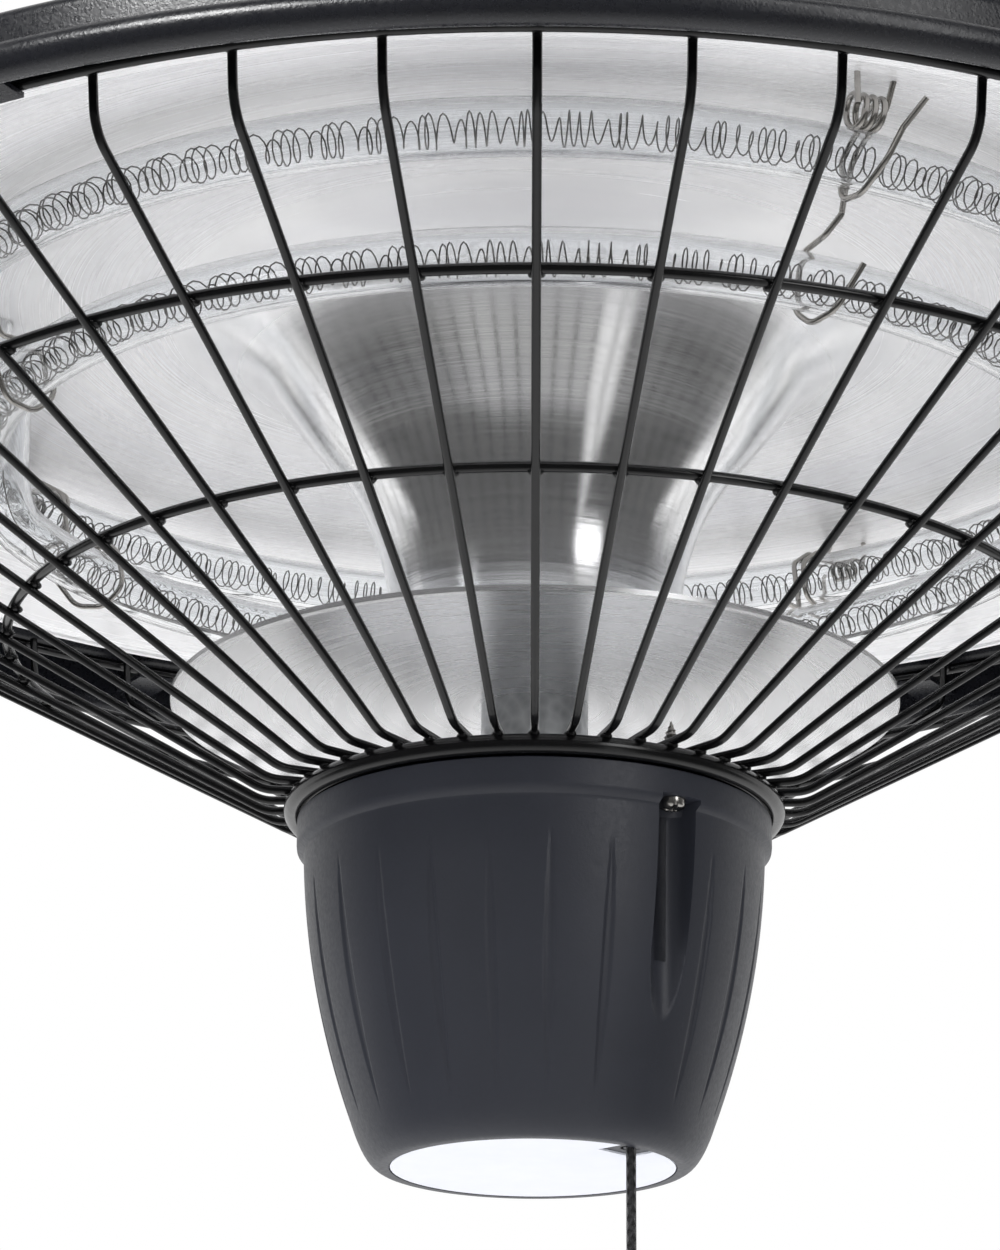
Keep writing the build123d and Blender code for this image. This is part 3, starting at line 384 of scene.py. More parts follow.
def clip_paths(angle):
    """Both wires of one clip, in (radius, sideways, height), turned to their angle."""
    hook = [(LOOP_AT + LOOP, 0.0, HOOK_TOP)]
    for k in range(int(LOOP_TURNS * 16)):
        a = k * pi / 8
        hook.append((LOOP_AT + LOOP * cos(a), LOOP_PITCH * k / 16, LOOP_Z + LOOP * sin(a)))
    y = hook[-1][1]
    under = rounded([
        hook[-1], (135.5, y, 101.2), (128.4, y, 96.5), (129.4, y, 88.4), (137.0, y, 86.6),
        (144.0, y + 2.0, 91.5), (146.6, y + 4.0, 97.0), (151.6, y + 6.5, 101.6)],
        [3.0, 3.0, 3.0, 4.5, 5.0, 1.5], 12.0)
    hook += [tuple(p) for p in under[1:]]
    y += LONG_WIRE_ASIDE
    long = rounded([
        (147.5, y, HOOK_TOP), (143.0, y, 101.6), (135.5, y, 101.3), (128.0, y, 96.5),
        (127.4, y - 1.5, 86.5), (124.2, y - 3.5, 83.0), (114.5, y - 4.0, 82.6), (111.9, y - 4.0, 72.0),
        (117.0, y - 3.0, 67.6), (123.5, y - 1.0, 68.4), (128.6, y + 2.5, 76.6)],
        [3.0, 3.0, 3.0, 1.4, 2.5, 4.5, 4.5, 4.0, 5.0], 12.0)
    turn = Matrix.Rotation(radians(angle), 3, "Z")
    return [[turn @ Vector((x, yy, RING_PLATE_Z + z)) * MM for x, yy, z in route] for route in (hook, long)]


def joined(name, parts, material):
    """One object from several meshes made above."""
    verts, faces = [], []
    for part in parts:
        data, start = part.data, len(verts)
        verts += [v.co.copy() for v in data.vertices]
        faces += [tuple(start + i for i in f.vertices) for f in data.polygons]
        bpy.data.objects.remove(part)
        bpy.data.meshes.remove(data)
    return make_mesh(name, verts, faces, material, 50.0)


# Drawn stainless steel: bright, slightly warm grey, with faint marks from the drawing die
STAINLESS = surface("drawn_stainless_wire", ("a09d99", "c4c1bc"), 5.0, (0.14, 0.26), 1.6667,
                    (0.66667, 4.0, 0.05, 0.2), Metallic=1.0)
clip_wires = [tube("clip", path, CLIP_WIRE, STAINLESS, 10) for a in CLIP_ANGLES for path in clip_paths(a)]
fit(joined("spring_clips", clip_wires, STAINLESS), stands_for="tube_clips")

# Disc: a thin aluminium heat shield, blanked, rolled to a high polish and
# turned down at its rim. It mirrors the spacer and the plate below softly.
DISC_R, DISC_Z, DISC_TOP = 77.0, 23.4, 24.2


def rolled_aluminium():
    """Sheet with faint turning lines, drawn 2 mm wide so that they show, and slow waves from rolling."""
    material, tree, shader, coords = new_material("rolled_aluminium")
    line_coords, radius = turned_coords(tree, coords, 2.0, 0.3)
    lines = add_node(tree, "ShaderNodeTexNoise", {
        "Vector": line_coords, "Scale": 1.0, "Detail": 3.0, "Roughness": 0.55})
    rough = add_node(tree, "ShaderNodeMapRange", {0: lines, 1: 0.3, 2: 0.7, 3: 0.24, 4: 0.3})
    patches = add_node(tree, "ShaderNodeTexNoise", {
        "Vector": coords, "Scale": 1 / (50.0 * MM), "Detail": 4.0, "Roughness": 0.55})
    colour = add_node(tree, "ShaderNodeMix", {0: patches, 6: linear("f6f6f8"), 7: linear("fdfdfe")},
                      data_type="RGBA")
    waves = add_node(tree, "ShaderNodeTexNoise", {
        "Vector": coords, "Scale": 1 / (71.429 * MM), "Detail": 2.0, "Roughness": 0.55})
    bump = add_node(tree, "ShaderNodeBump", {"Height": waves, "Strength": 0.04, "Distance": 2.0 * MM})
    feed(tree, shader, {
        "Base Color": colour.outputs[2], "Metallic": 0.9, "Roughness": rough, "Normal": bump})
    return material


disc = lathe("polished_disc", [
    (TIE_HOLE, DISC_Z), (30.0, DISC_Z), (60.0, DISC_Z), (DISC_R - 3.0, DISC_Z),
    (DISC_R - 0.5, DISC_Z - 0.05), (DISC_R, DISC_Z - 0.3), (DISC_R, DISC_TOP), (DISC_R - 0.6, DISC_TOP + 0.1),
    (60.0, DISC_TOP), (TIE_HOLE, DISC_TOP)], rolled_aluminium(), ROUND_COLUMNS)
fit(disc, stands_for="mirror_disc")

# Spacers: two lengths of galvanised steel pipe that hold the disc between the
# ring plate and the reflector's foot. Hot zinc sets in grey crystals.
SPACER_R, SPACER_BORE = 11.3, 10.1


def hot_galvanised():
    """Pale grey zinc in small crystals, matt and bright in patches."""
    material, tree, shader, coords = new_material("hot_galvanised_steel")
    crystals = add_node(tree, "ShaderNodeTexVoronoi", {"Vector": coords, "Scale": 1 / (2.381 * MM)})
    colour = add_node(tree, "ShaderNodeMix", {
        0: crystals.outputs["Distance"], 6: linear("a6a8ab"), 7: linear("d0d2d3")}, data_type="RGBA")
    grain = add_node(tree, "ShaderNodeTexNoise", {
        "Vector": coords, "Scale": 1 / (2.0 * MM), "Detail": 4.0, "Roughness": 0.55})
    rough = add_node(tree, "ShaderNodeMapRange", {0: grain, 1: 0.3, 2: 0.7, 3: 0.28, 4: 0.48})
    pits = add_node(tree, "ShaderNodeTexNoise", {
        "Vector": coords, "Scale": 1 / (0.83333 * MM), "Detail": 4.0, "Roughness": 0.55})
    bump = add_node(tree, "ShaderNodeBump", {"Height": pits, "Strength": 0.15, "Distance": 0.3 * MM})
    feed(tree, shader, {
        "Base Color": colour.outputs[2], "Metallic": 0.6, "Roughness": rough, "Normal": bump})
    return material


GALVANISED = hot_galvanised()
for name, node, low, high in (("spacer_low", "lower_spacer", 0.0, DISC_Z),
                              ("spacer_high", "upper_spacer", DISC_TOP, NECK_FOOT)):
    spacer = lathe(name, [(SPACER_R, low), (SPACER_R, high), (SPACER_BORE, high), (SPACER_BORE, low)],
                   GALVANISED, 96)
    fit(spacer, stands_for=node)

# Ring plate: the foot of the grille, pressed from sheet steel with its edge
# rolled round, in black stoved enamel. A bright zinc-plated disc lies in it.
# Enamel flows smooth before it is stoved, so its highlights are thin and sharp.
PLATE_R, PLATE_ROLL, PLATE_WALL, PLATE_FLAT_R = 50.6, 2.0, 1.5, 48.9
INLAY_R, INLAY_LOW, INLAY_TOP = 48.3, 0.05, 0.35

BLACK = surface("black_stoved_enamel", ("040405", "09090a"), 25.0, (0.16, 0.26), 3.3333,
                (1.4286, 2.0, 0.08, 0.3))
turns = [radians(148 - 12 * k) for k in range(25)]
roll = [(PLATE_R + PLATE_ROLL * cos(a), PLATE_ROLL * sin(a)) for a in turns]
plate = lathe("ring_plate", [(TIE_HOLE, 0.0), (PLATE_FLAT_R, 0.0)] + roll + [
    (PLATE_FLAT_R, -PLATE_WALL), (TIE_HOLE, -PLATE_WALL)], BLACK)
fit(plate, stands_for="grille_ring_plate")
# Bright zinc plate: a pale, cool mirror that lights the disc above it
BRIGHT_ZINC = surface("bright_zinc_plate", ("e2e3e6", "f0f1f3"), 12.5, (0.12, 0.2), 2.5, Metallic=0.9)
inlay = lathe("plate_floor", [(TIE_HOLE + 0.1, INLAY_LOW), (INLAY_R, INLAY_LOW), (INLAY_R, INLAY_TOP),
                              (TIE_HOLE + 0.1, INLAY_TOP)], BRIGHT_ZINC, 128)
fit(inlay)

# Grille: steel wires bent at both ends, welded in a ring to the plate, two
# hoops and an outer ring, then enamelled black. One wire with its four welds
# is made and set round the axis by Geometry Nodes.
WIRE_COUNT, WIRE, HOOP, OUTER_RING = 44, 0.9, 1.1, 1.25
WIRE_LINE = [(45.0, 2.95), (57.2, 2.95), (189.1, 75.8), (190.6, 87.2)]
HOOPS = (("hoop_high", "grille_hoop_upper", 152.6), ("hoop_low", "grille_hoop_lower", 111.7))
OUTER_RING_R, OUTER_RING_Z = 192.8, 86.25
slope = (WIRE_LINE[2][1] - WIRE_LINE[1][1]) / (WIRE_LINE[2][0] - WIRE_LINE[1][0])
hoop_lift = (HOOP + WIRE + 0.05) * hypot(1.0, slope)


def weld(r, z, long, wide, high=0.95, rows=8, columns=12):
    """A small bead of melted steel where two wires cross."""
    verts = []
    for i in range(rows):
        lat = pi * (i + 0.02) / (rows - 1 + 0.04) - pi / 2
        for k in range(columns):
            a = 2 * pi * k / columns
            out = 1 + 0.15 * sin(3 * a + r)
            verts.append(Vector((r + long * cos(lat) * cos(a) * out, wide * cos(lat) * sin(a) * out,
                                 RING_PLATE_Z + z + high * sin(lat))) * MM)
    ends = [tuple(reversed(range(columns))), tuple((rows - 1) * columns + k for k in range(columns))]
    return make_mesh("weld", verts, grid_faces(rows, columns) + ends, BLACK, 80.0)


def repeat_round(name, source, count, start, material):
    """Geometry Nodes: copies of a mesh set evenly round the axis, made one plain mesh."""
    tree = bpy.data.node_groups.new(name + "_round_the_axis", "GeometryNodeTree")
    for label, kind in (("Geometry", "Geometry"), ("Count", "Int"), ("Start angle", "Float")):
        tree.interface.new_socket(label, in_out="INPUT", socket_type="NodeSocket" + kind)
    tree.interface.new_socket("Geometry", in_out="OUTPUT", socket_type="NodeSocketGeometry")
    entry = add_node(tree, "NodeGroupInput")
    points = add_node(tree, "GeometryNodePoints", {"Count": entry.outputs["Count"]})
    index = add_node(tree, "GeometryNodeInputIndex")
    step = add_node(tree, "ShaderNodeMath", {0: 2 * pi, 1: entry.outputs["Count"]}, operation="DIVIDE")
    turn = add_node(tree, "ShaderNodeMath", {0: index, 1: step, 2: entry.outputs["Start angle"]},
                    operation="MULTIPLY_ADD")
    spin = add_node(tree, "ShaderNodeCombineXYZ", {"Z": turn})
    copies = add_node(tree, "GeometryNodeInstanceOnPoints", {
        "Points": points, "Instance": entry.outputs["Geometry"], "Rotation": spin})
    real = add_node(tree, "GeometryNodeRealizeInstances", {0: copies})
    paint = add_node(tree, "GeometryNodeSetMaterial", {"Geometry": real, "Material": material})
    add_node(tree, "NodeGroupOutput", {0: paint})
    modifier = source.modifiers.new("round", "NODES")
    modifier.node_group = tree
    keys = {item.name: item.identifier for item in tree.interface.items_tree if item.in_out == "INPUT"}
    modifier[keys["Count"]] = count
    modifier[keys["Start angle"]] = radians(start)
    bpy.context.view_layer.update()
    data = bpy.data.meshes.new_from_object(source.evaluated_get(bpy.context.evaluated_depsgraph_get()))
    data.name = name
    obj = bpy.data.objects.new(name, data)
    bpy.context.scene.collection.objects.link(obj)
    bpy.data.objects.remove(source)
    return obj


wire = [tube("wire", [place(p[0], 0, p[1]) for p in rounded(WIRE_LINE, [9.0, 9.0])], WIRE, BLACK, 14)]
off = (HOOP + WIRE + 0.05) / hypot(1.0, slope)
hoop_heights = []
for name, node, r in HOOPS:
    z = WIRE_LINE[1][1] + (r - WIRE_LINE[1][0]) * slope + hoop_lift
    wire.append(weld(r - off * slope * 0.5 + 0.2, z - off * 0.52, 1.35, 1.6))
    hoop_heights.append(z)
wire.append(weld(PLATE_R, PLATE_ROLL, 1.5, 1.3))
wire.append(weld(OUTER_RING_R - 1.1, OUTER_RING_Z, 1.2, 1.5))
bars = repeat_round("grille_bars", joined("bar", wire, BLACK), WIRE_COUNT, -90.0, BLACK)
fit(bars, stands_for="grille_wires")
for (name, node, r), z in zip(HOOPS, hoop_heights):
    hoop = lathe(name, wire_profile(r, z, HOOP), BLACK)
    fit(hoop, stands_for=node)
outer_ring = lathe("outer_ring", wire_profile(OUTER_RING_R, OUTER_RING_Z, OUTER_RING), BLACK)
fit(outer_ring, stands_for="grille_outer_ring")

# Switch housing: an injection-moulded cup of black plastic with a fine eroded
# grain. Shallow spear-shaped flutes run down its wall, and two half-round
# pockets let a screwdriver reach the screws at their tops.
FLUTES, FLUTE_AT, FLUTE_Z = 24, -86.0, -41.5
FLUTE_HALF_LENGTH, FLUTE_HALF_WIDTH, FLUTE_DEPTH = 25.0, 1.0, 0.4
POCKETS, POCKET_R, POCKET_AT, POCKET_TOP = (-53.2, 126.8), 4.4, 46.1, -7.5
CUP_WALL_POINTS = (48.2, -9.5), (44.7, -40.0), (36.4, -68.5)
CUP_TOP, CUP_ROUND_FROM, CUP_ROUND_CORNER, CUP_FLAT_R, CUP_FOOT = -9.5, -66.0, 34.3, 31.0, -75.2
CUP_ROW = 59.0 / 80
CUP_INSIDE_R = 33.0


def circle_through(points):
    """Centre of the circle through three points, and its radius squared."""
    (x1, y1), (x2, y2), (x3, y3) = points
    d = 2 * (x1 * (y2 - y3) + x2 * (y3 - y1) + x3 * (y1 - y2))
    s1, s2, s3 = x1 * x1 + y1 * y1, x2 * x2 + y2 * y2, x3 * x3 + y3 * y3
    cx = (s1 * (y2 - y3) + s2 * (y3 - y1) + s3 * (y1 - y2)) / d
    cy = (s1 * (x3 - x2) + s2 * (x1 - x3) + s3 * (x2 - x1)) / d
    return cx, cy, (x1 - cx) ** 2 + (y1 - cy) ** 2


def cup_radius(z):
    cx, cy, square = circle_through(CUP_WALL_POINTS)
    return cx + sqrt(square - (z - cy) ** 2)


def cup_shape(r, angle, z):
    """Presses the flutes and the pockets into the cup's outer wall."""
    degrees = angle * 180 / pi
    out = r
    if r <= CUP_INSIDE_R:
        return out
    if z < -12:
        step = 360.0 / FLUTES
        off = ((degrees - FLUTE_AT) % step + step / 2) % step - step / 2
        near = min(abs((degrees - p + 180) % 360 - 180) for p in POCKETS)
        s = (z - FLUTE_Z) / FLUTE_HALF_LENGTH
        if abs(s) < 1 and near > 9 + abs(off):
            width = FLUTE_HALF_WIDTH * (1 - s * s) + 0.1
            x = off * pi / 180 * r
            if abs(x) < width:
                out = r - FLUTE_DEPTH * (1 - s * s) ** 0.5 * (1 - (x / width) ** 4)
    if z <= POCKET_TOP:
        for p in POCKETS:
            d = radians((degrees - p + 180) % 360 - 180)
            side = POCKET_R ** 2 - (POCKET_AT * sin(d)) ** 2
            if side > 0 and abs(d) < 0.5:
                out = min(out, POCKET_AT * cos(d) - sqrt(side))
    return out


cup_rows = [(49.2, -2.05), (49.7, -2.4), (49.7, -7.4), (49.7, -7.55), (49.6, -8.4), (48.3, -9.4)]
wall = [CUP_TOP - k * CUP_ROW for k in range(81)]
cup_rows += [(cup_radius(z), z) for z in wall if z > CUP_ROUND_FROM]
for k in range(13):
    s = k / 12
    r = (1 - s) ** 2 * cup_radius(CUP_ROUND_FROM) + 2 * s * (1 - s) * CUP_ROUND_CORNER + s * s * CUP_FLAT_R
    cup_rows.append((r, CUP_ROUND_FROM * (1 - s) ** 2 + CUP_FOOT * (2 * s * (1 - s) + s * s)))
cup_rows += [(29.5, CUP_FOOT), (29.4, CUP_FOOT + 0.5), (5.0, CUP_FOOT + 0.5)]
cup_rows += [(5.0, -72.8), (30.0, -72.8), (33.6, -68.5), (42.0, -40.0), (45.6, -10.0), (45.6, -2.05)]
# Moulded plastic with an eroded grain: a cool black without sharp highlights
HOUSING_PLASTIC = surface("eroded_housing_plastic", ("25272e", "2c2e36"), 20.0, (0.38, 0.5), 0.98039,
                          (0.58824, 3.0, 0.35, 0.08))
cup = lathe("switch_cup", cup_rows, HOUSING_PLASTIC, 900, sharp=50.0, change=cup_shape)
fit(cup, stands_for="switch_housing")

# Self-tapping screws: bright steel, with a pan head, a cross recess and a
# rolled thread. They hold the cup, and their points stand above the ring plate.
SCREW_HEAD_Z, SCREW_LENGTH, THREAD_PITCH, THREAD_ROWS, THREAD_COLUMNS = -7.5, 16.5, 1.1, 150, 20
SCREW_CORE, THREAD_HEIGHT, SCREW_TIP, TAPER = 1.05, 0.4, 9.2, 3.2
SCREW_HEAD = [
    (0.05, -7.5), (2.8, -7.5), (2.8, -8.6), (2.5, -9.2), (1.6, -9.65), (0.6, -9.7), (0.05, -9.0)]
RECESS_R, RECESS_DEPTH, RECESS_TURN = 1.8, 0.9, 0.3
screw_parts = []
for angle in POCKETS:
    centre = place(POCKET_AT, angle, 0)
    thread = []
    for i in range(THREAD_ROWS):
        z = SCREW_HEAD_Z + SCREW_LENGTH * i / (THREAD_ROWS - 1)
        for k in range(THREAD_COLUMNS):
            a = 2 * pi * k / THREAD_COLUMNS
            phase = (z / THREAD_PITCH - k / THREAD_COLUMNS) % 1.0
            crest = max(0.0, 1 - abs(phase - 0.5) * 4)
            r = (SCREW_CORE + THREAD_HEIGHT * crest) * min(1.0, (SCREW_TIP - z) / TAPER) + 0.05
            thread.append(centre + Vector((r * cos(a), r * sin(a), z)) * MM)
    thread_faces = grid_faces(THREAD_ROWS, THREAD_COLUMNS)
    screw_parts.append(make_mesh("thread", thread, thread_faces, STAINLESS, 35.0))
    head = []
    for r, z in SCREW_HEAD:
        for k in range(32):
            a = 2 * pi * k / 32
            arm = abs(sin(2 * (a - RECESS_TURN)))
            lift = RECESS_DEPTH * max(0.0, 1 - arm * 3.0) if r < RECESS_R and z < -8 else 0.0
            head.append(centre + Vector((r * cos(a), r * sin(a), z + lift)) * MM)
    screw_parts.append(make_mesh("head", head, grid_faces(len(SCREW_HEAD), 32), STAINLESS, 35.0))
screws = joined("self_tapping_screws", screw_parts, STAINLESS)
fit(screws, stands_for="housing_screws")

# Pull cord and knob: a braided polyester cord from the switch's lever, through
# the bottom of the cup, to a turned plastic knob. The braid's two sets of
# strands cross in a fine chequer, with painted shade in the hollows between them.
CORD_X, CORD_Y, CORD_R = 19.6, -18.7, 1.0
CORD_TOP, CORD_END, CORD_EXIT_Z = -44.96, -201.2, -0.2397
CORD_POINTS = (CORD_TOP, -75.0, -100.0, -130.0, -165.0, CORD_END)
STRANDS, STRAND_PITCH = 4.0, 2.7318
KNOB_TOP = CORD_END + 12.0


def braided_polyester():
    """Dull black fibres, in strands that cross each other both ways round the cord; the hollows between them
    are painted darker as shade.
    """
    material, tree, shader, coords = new_material("braided_polyester")
    x, y, z = add_node(tree, "ShaderNodeSeparateXYZ", {0: coords}).outputs
    across = add_node(tree, "ShaderNodeMath", {0: y, 1: CORD_Y * MM}, operation="SUBTRACT")
    aside = add_node(tree, "ShaderNodeMath", {0: x, 1: CORD_X * MM}, operation="SUBTRACT")
    angle = add_node(tree, "ShaderNodeMath", {0: across, 1: aside}, operation="ARCTAN2")
    wound = add_node(tree, "ShaderNodeMath", {0: angle, 1: STRANDS}, operation="MULTIPLY")
    climb = add_node(tree, "ShaderNodeMath", {0: z, 1: 2 * pi / (STRAND_PITCH * MM)}, operation="MULTIPLY")
    waves = []
    for way in ("ADD", "SUBTRACT"):
        strand = add_node(tree, "ShaderNodeMath", {0: wound, 1: climb}, operation=way)
        waves.append(add_node(tree, "ShaderNodeMath", {0: strand}, operation="SINE"))
    weave = add_node(tree, "ShaderNodeMath", {0: waves[0], 1: waves[1]}, operation="MAXIMUM")
    # Painted shade: the colour is darker in the hollows between the strands than on their crowns
    painted_braid_shade = add_node(tree, "ShaderNodeMapRange", {0: weave})
    colour = add_node(tree, "ShaderNodeMix", {0: painted_braid_shade, 6: linear("0c0c0d"), 7: linear("232325")},
                      data_type="RGBA")
    fibres = add_node(tree, "ShaderNodeTexNoise", {
        "Vector": coords, "Scale": 1 / (0.5 * MM), "Detail": 4.0, "Roughness": 0.55})
    rough = add_node(tree, "ShaderNodeMapRange", {0: fibres, 1: 0.3, 2: 0.7, 3: 0.55, 4: 0.8})
    bump = add_node(tree, "ShaderNodeBump", {"Height": weave, "Strength": 0.7, "Distance": 0.4 * MM})
    feed(tree, shader, {
        "Base Color": colour.outputs[2], "Roughness": rough, "Sheen Weight": 0.2, "Normal": bump})
    return material


cord_line = bpy.data.curves.new("pull_cord_line", "CURVE")
cord_line.dimensions = "3D"
cord_line.bevel_depth = CORD_R * MM
cord_line.bevel_resolution = 5
spline = cord_line.splines.new("NURBS")
spline.points.add(len(CORD_POINTS) - 1)
for point, z in zip(spline.points, CORD_POINTS):
    point.co = (CORD_X * MM, CORD_Y * MM, (RING_PLATE_Z + z) * MM, 1.0)
spline.order_u = 3
spline.use_endpoint_u = True
cord_line.materials.append(braided_polyester())
cord = bpy.data.objects.new("braided_cord", cord_line)
bpy.context.scene.collection.objects.link(cord)
# Black plastic from a polished mould: darker and a little shinier than the cup
BLACK_PLASTIC = surface("black_plastic", ("141416", "1c1c1e"), 20.0, (0.35, 0.5), 1.1905,
                        (0.71429, 3.0, 0.15, 0.08))
knob_line = rounded([
    (CORD_R + 0.02, KNOB_TOP), (2.4, KNOB_TOP), (3.0, KNOB_TOP - 2.0), (4.3, KNOB_TOP - 13.0),
    (6.5, KNOB_TOP - 23.0), (5.1, KNOB_TOP - 26.0), (0.2, KNOB_TOP - 26.0)],
    [0.4, 0.8, 20.0, 0.8, 0.6], 8.0)
knob_line += [Vector((0.2, CORD_END - 0.5)), Vector((CORD_R + 0.02, CORD_END - 0.5))]
knob = lathe("turned_knob", knob_line, BLACK_PLASTIC, 64)
for v in knob.data.vertices:
    v.co += Vector((CORD_X, CORD_Y, 0)) * MM
fit(knob, "pull", "pull_knob")
fit(cord, "pull", "pull_cord")

# Small pieces that keep the shape of their solids: fasteners, ceramic caps on
# the tubes' ends, the switch and the mains entry, and the bare label.
# Plated steel: silver grey, with soft patches
ZINC = surface("zinc_plated_steel", ("9fa1a3", "bfc1c2"), 6.6667, (0.25, 0.4), 2.5,
               (1.1111, 4.0, 0.08, 0.3), Metallic=1.0)
# Glazed ceramic: warm white with a soft shine
CERAMIC = surface("glazed_ceramic", ("dcd9d0", "ebe8e0"), 12.5, (0.3, 0.45), 3.3333, (1.25, 4.0, 0.06, 0.3))
# Moulded plastic in plain white, with hardly any grain
PALE_PLASTIC = surface("white_plastic", ("cfcfca", "dededa"), 20.0, (0.35, 0.5), 1.8519,
                       (1.1111, 3.0, 0.1, 0.08))
# White film with a faint cool tint, smooth and even
LABEL_FILM = surface("white_label_film", ("e0e3ec", "e8eaf2"), 20.0, (0.35, 0.5), 5.5556,
                     (3.3333, 3.0, 0.05, 0.08))
FINISHES = (
    (POWDER_COAT, ("grille_clips",)),
    (ZINC, ("grille_rivets", "hanging_lug", "lug_washer", "tie_rod", "hood_nut", "reflector_nut", "base_nut",
            "lever_pin", "cord_ferrule", "block_screws")),
    (CERAMIC, ("ceramic_caps",)),
    (LABEL_FILM, ("housing_label",)),
    (BLACK_PLASTIC, ("cord_bush", "switch_body", "cable_gland", "gland_nut")),
    (PALE_PLASTIC, ("switch_lever", "terminal_block")),
)
for material, nodes in FINISHES:
    for node in nodes:
        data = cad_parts[node].data
        data.materials.clear()
        data.materials.append(material)

# Floor: a plain pale sheet far below the heater. To the camera it shows pale
# with the heater's shadow. Shiny metal sees it bright behind the heater and
# dark in front, with one bright strip, as in a studio lit from behind.
FLOOR_Z, FLOOR_HALF = -0.62, 20.0
DARK_FROM, BRIGHT_FROM, DARK, BRIGHT = -0.7, 0.05, 0.1, 1.0
STRIP_X, STRIP_SLANT, STRIP_CORE, STRIP_EDGE, STRIP_LIGHT = 0.12, 0.6, 0.05, 0.14, 0.75
CAMERA_GLOW = 0.4


def pale_floor():
    material, tree, shader, coords = new_material("pale_floor")
    rays = add_node(tree, "ShaderNodeLightPath")
    mirrored = rays.outputs["Is Glossy Ray"]
    colour = add_node(tree, "ShaderNodeMix", {0: mirrored, 6: linear("ececee"), 7: linear("000000")},
                      data_type="RGBA")
    x, y, z = add_node(tree, "ShaderNodeSeparateXYZ", {0: coords}).outputs
    sideways = add_node(tree, "ShaderNodeMath", {0: x}, operation="ABSOLUTE")
    retreat = add_node(tree, "ShaderNodeMapRange", {0: sideways, 1: 0.25, 2: 1.25, 3: 0.0, 4: 1.1})
    lean = add_node(tree, "ShaderNodeMath", {0: y, 1: retreat}, operation="SUBTRACT")
    bright = add_node(tree, "ShaderNodeMapRange", {
        0: lean, 1: DARK_FROM, 2: BRIGHT_FROM, 3: DARK, 4: BRIGHT}, interpolation_type="SMOOTHSTEP")
    slant = add_node(tree, "ShaderNodeMath", {0: y, 1: STRIP_SLANT, 2: -STRIP_X}, operation="MULTIPLY_ADD")
    across = add_node(tree, "ShaderNodeMath", {0: x, 1: slant}, operation="ADD")
    off = add_node(tree, "ShaderNodeMath", {0: across}, operation="ABSOLUTE")
    strip = add_node(tree, "ShaderNodeMapRange", {
        0: off, 1: STRIP_EDGE, 2: STRIP_CORE, 3: 0.0, 4: STRIP_LIGHT}, interpolation_type="SMOOTHSTEP")
    either = add_node(tree, "ShaderNodeMath", {0: bright, 1: strip}, operation="MAXIMUM")
    shine = add_node(tree, "ShaderNodeMath", {0: mirrored, 1: either}, operation="MULTIPLY")
    glow = add_node(tree, "ShaderNodeMath", {0: rays.outputs["Is Camera Ray"], 1: CAMERA_GLOW, 2: shine},
                    operation="MULTIPLY_ADD")
    feed(tree, shader, {
        "Base Color": colour.outputs[2], "Roughness": 0.7, "Specular IOR Level": 0.0,
        "Emission Color": (1, 1, 1, 1), "Emission Strength": glow})
    return material


corners = [(x * FLOOR_HALF, y * FLOOR_HALF, FLOOR_Z) for x, y in ((-1, -1), (1, -1), (1, 1), (-1, 1))]
make_mesh("floor", corners, [(0, 1, 2, 3)], pale_floor())

# Lamps: large soft sheets of light from the left, right, front, below and
# behind, and one smaller lamp at the upper left that draws the highlight on
# the hood's bead. Each has its place, aim, width, height and watts.
LAMPS = (
    ("key_left", (-1.3, -1.0, -0.35), (0, 0, -0.12), 0.5, 0.9, 7.0),
    ("fill_right", (1.5, -0.9, -0.1), (0, 0, -0.12), 1.2, 1.2, 3.0),
    ("front_low", (0.0, -1.3, -0.58), (0, 0, -0.15), 1.2, 0.6, 4.5),
    ("under", (0.0, 0.05, -0.6), (0, 0.05, -0.2), 1.6, 1.6, 4.8),
    ("rim_back", (0.0, 2.2, 2.6), (0, 0, -0.1), 2.2, 2.2, 30.0),
    ("top_left", (-0.64, -0.92, 0.65), (0, 0, -0.15), 0.38, 0.38, 14.0),
)
for name, at, aim, width, height, watts in LAMPS:
    light = bpy.data.lights.new(name, "AREA")
    light.shape = "RECTANGLE"
    light.size, light.size_y, light.energy = width, height, watts
    lamp = bpy.data.objects.new(name, light)
    lamp.location = at
    lamp.rotation_euler = (Vector(aim) - Vector(at)).to_track_quat("-Z", "Y").to_euler()
    lamp.visible_camera = False
    lamp.visible_glossy = name == "top_left"
    bpy.context.scene.collection.objects.link(lamp)

# Room: white to the camera and through glass. Matt surfaces get an even light
# that falls off upwards. Shiny ones see a pale room behind the heater, a dark
# one in front of it, and one bright strip to the right.
ROOM_DARK, ROOM_PALE = 0.13, 0.9
STRIP_BEARING, STRIP_HALF, STRIP_FADE, STRIP_SHINE = radians(40), radians(6), radians(12), 3.5
world = bpy.data.worlds.new("studio")
bpy.context.scene.world = world
world.use_nodes = True
room = world.node_tree
rays = add_node(room, "ShaderNodeLightPath")
sight = add_node(room, "ShaderNodeTexCoord").outputs["Generated"]
x, y, z = add_node(room, "ShaderNodeSeparateXYZ", {0: sight}).outputs
matt = add_node(room, "ShaderNodeMapRange", {0: z, 1: -0.5, 2: 0.7, 3: 0.5, 4: 0.3})
pale = add_node(room, "ShaderNodeMapRange", {0: y, 1: 0.0, 2: 0.6, 3: ROOM_DARK, 4: ROOM_PALE},
                interpolation_type="SMOOTHSTEP")
forward = add_node(room, "ShaderNodeMath", {0: y, 1: -1.0}, operation="MULTIPLY")
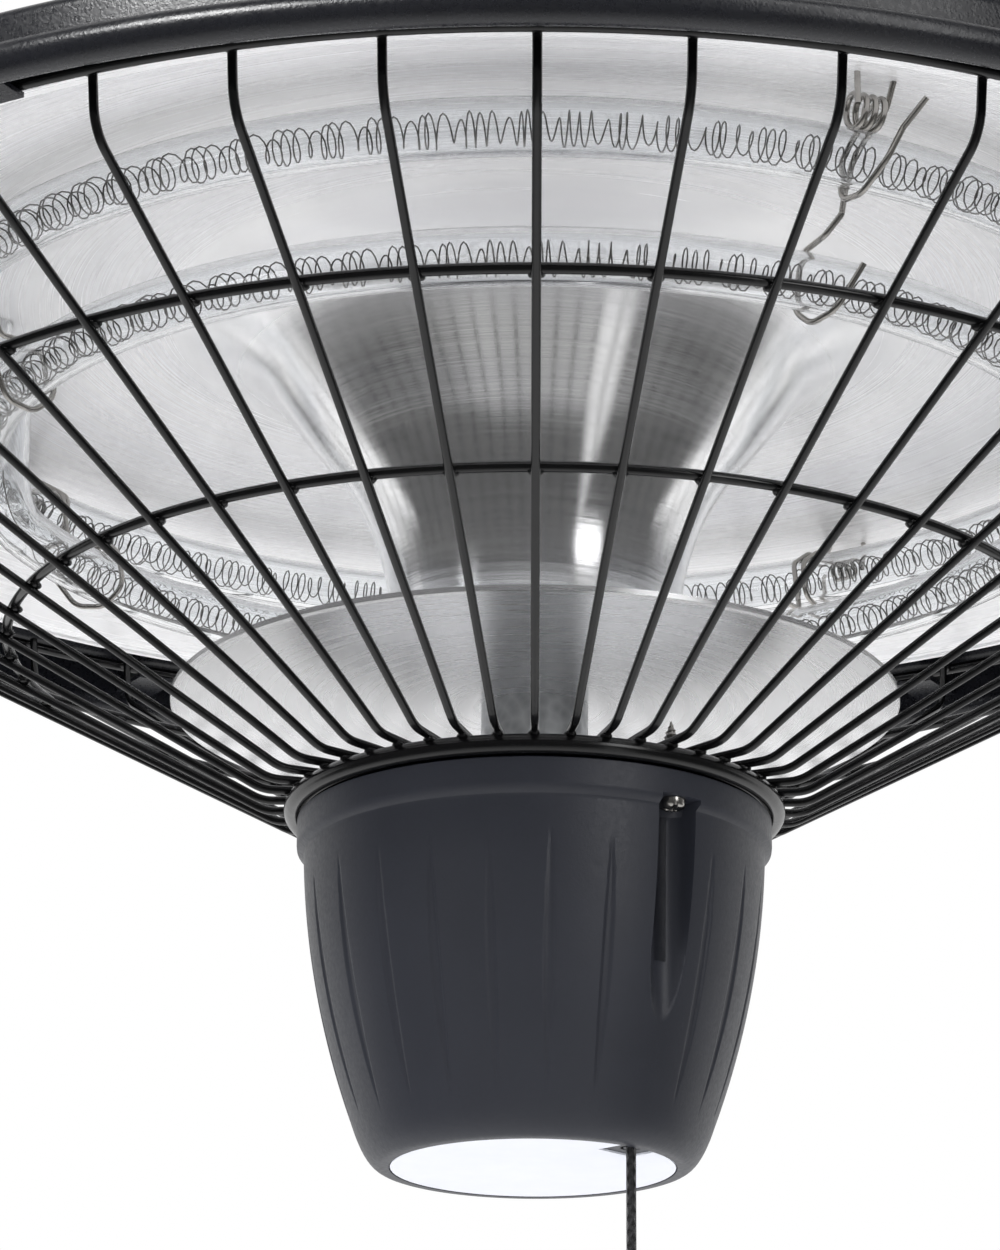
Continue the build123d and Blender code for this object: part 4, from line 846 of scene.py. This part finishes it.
bearing = add_node(room, "ShaderNodeMath", {0: x, 1: forward}, operation="ARCTAN2")
aside = add_node(room, "ShaderNodeMath", {0: bearing, 1: STRIP_BEARING}, operation="SUBTRACT")
off = add_node(room, "ShaderNodeMath", {0: aside}, operation="ABSOLUTE")
strip = add_node(room, "ShaderNodeMapRange", {0: off, 1: STRIP_FADE, 2: STRIP_HALF, 3: 0.0, 4: STRIP_SHINE},
                 interpolation_type="SMOOTHSTEP")
shiny = add_node(room, "ShaderNodeMath", {0: pale, 1: strip}, operation="MAXIMUM")
lit = add_node(room, "ShaderNodeMix", {
    0: rays.outputs["Is Glossy Ray"], 2: matt, 3: shiny}, data_type="FLOAT")
seen = add_node(room, "ShaderNodeMath", {
    0: rays.outputs["Is Camera Ray"], 1: rays.outputs["Is Transmission Ray"]}, operation="MAXIMUM")
strength = add_node(room, "ShaderNodeMix", {0: seen, 2: lit, 3: 1.0}, data_type="FLOAT")
feed(room, room.nodes["Background"], {"Color": (1, 1, 1, 1), "Strength": strength})

# Camera: the photograph's viewpoint, below and in front, in metres, with the
# focal length in pixels of a 1000 by 1250 image.
CAMERA_AT = Vector((0.0, -0.8562, -0.4160))
PITCH, YAW, ROLL = radians(18.90), radians(-0.50), radians(0.38)
FOCAL_PIXELS, IMAGE_HEIGHT, SENSOR = 4246.0, 1250, 36.0
ahead = Vector((sin(YAW) * cos(PITCH), cos(YAW) * cos(PITCH), sin(PITCH)))
right = Vector((cos(YAW), -sin(YAW), 0.0))
above = right.cross(ahead)
axes = Matrix((right * cos(ROLL) + above * sin(ROLL), above * cos(ROLL) - right * sin(ROLL), -ahead))
camera_data = bpy.data.cameras.new("camera")
camera_data.sensor_width = SENSOR
camera_data.lens = FOCAL_PIXELS * SENSOR / IMAGE_HEIGHT
camera_data.clip_start = 0.01
camera = bpy.data.objects.new("camera", camera_data)
camera.matrix_world = Matrix.Translation(CAMERA_AT) @ axes.transposed().to_4x4()
bpy.context.scene.collection.objects.link(camera)
bpy.context.scene.camera = camera
bpy.context.scene.view_settings.view_transform = "Standard"
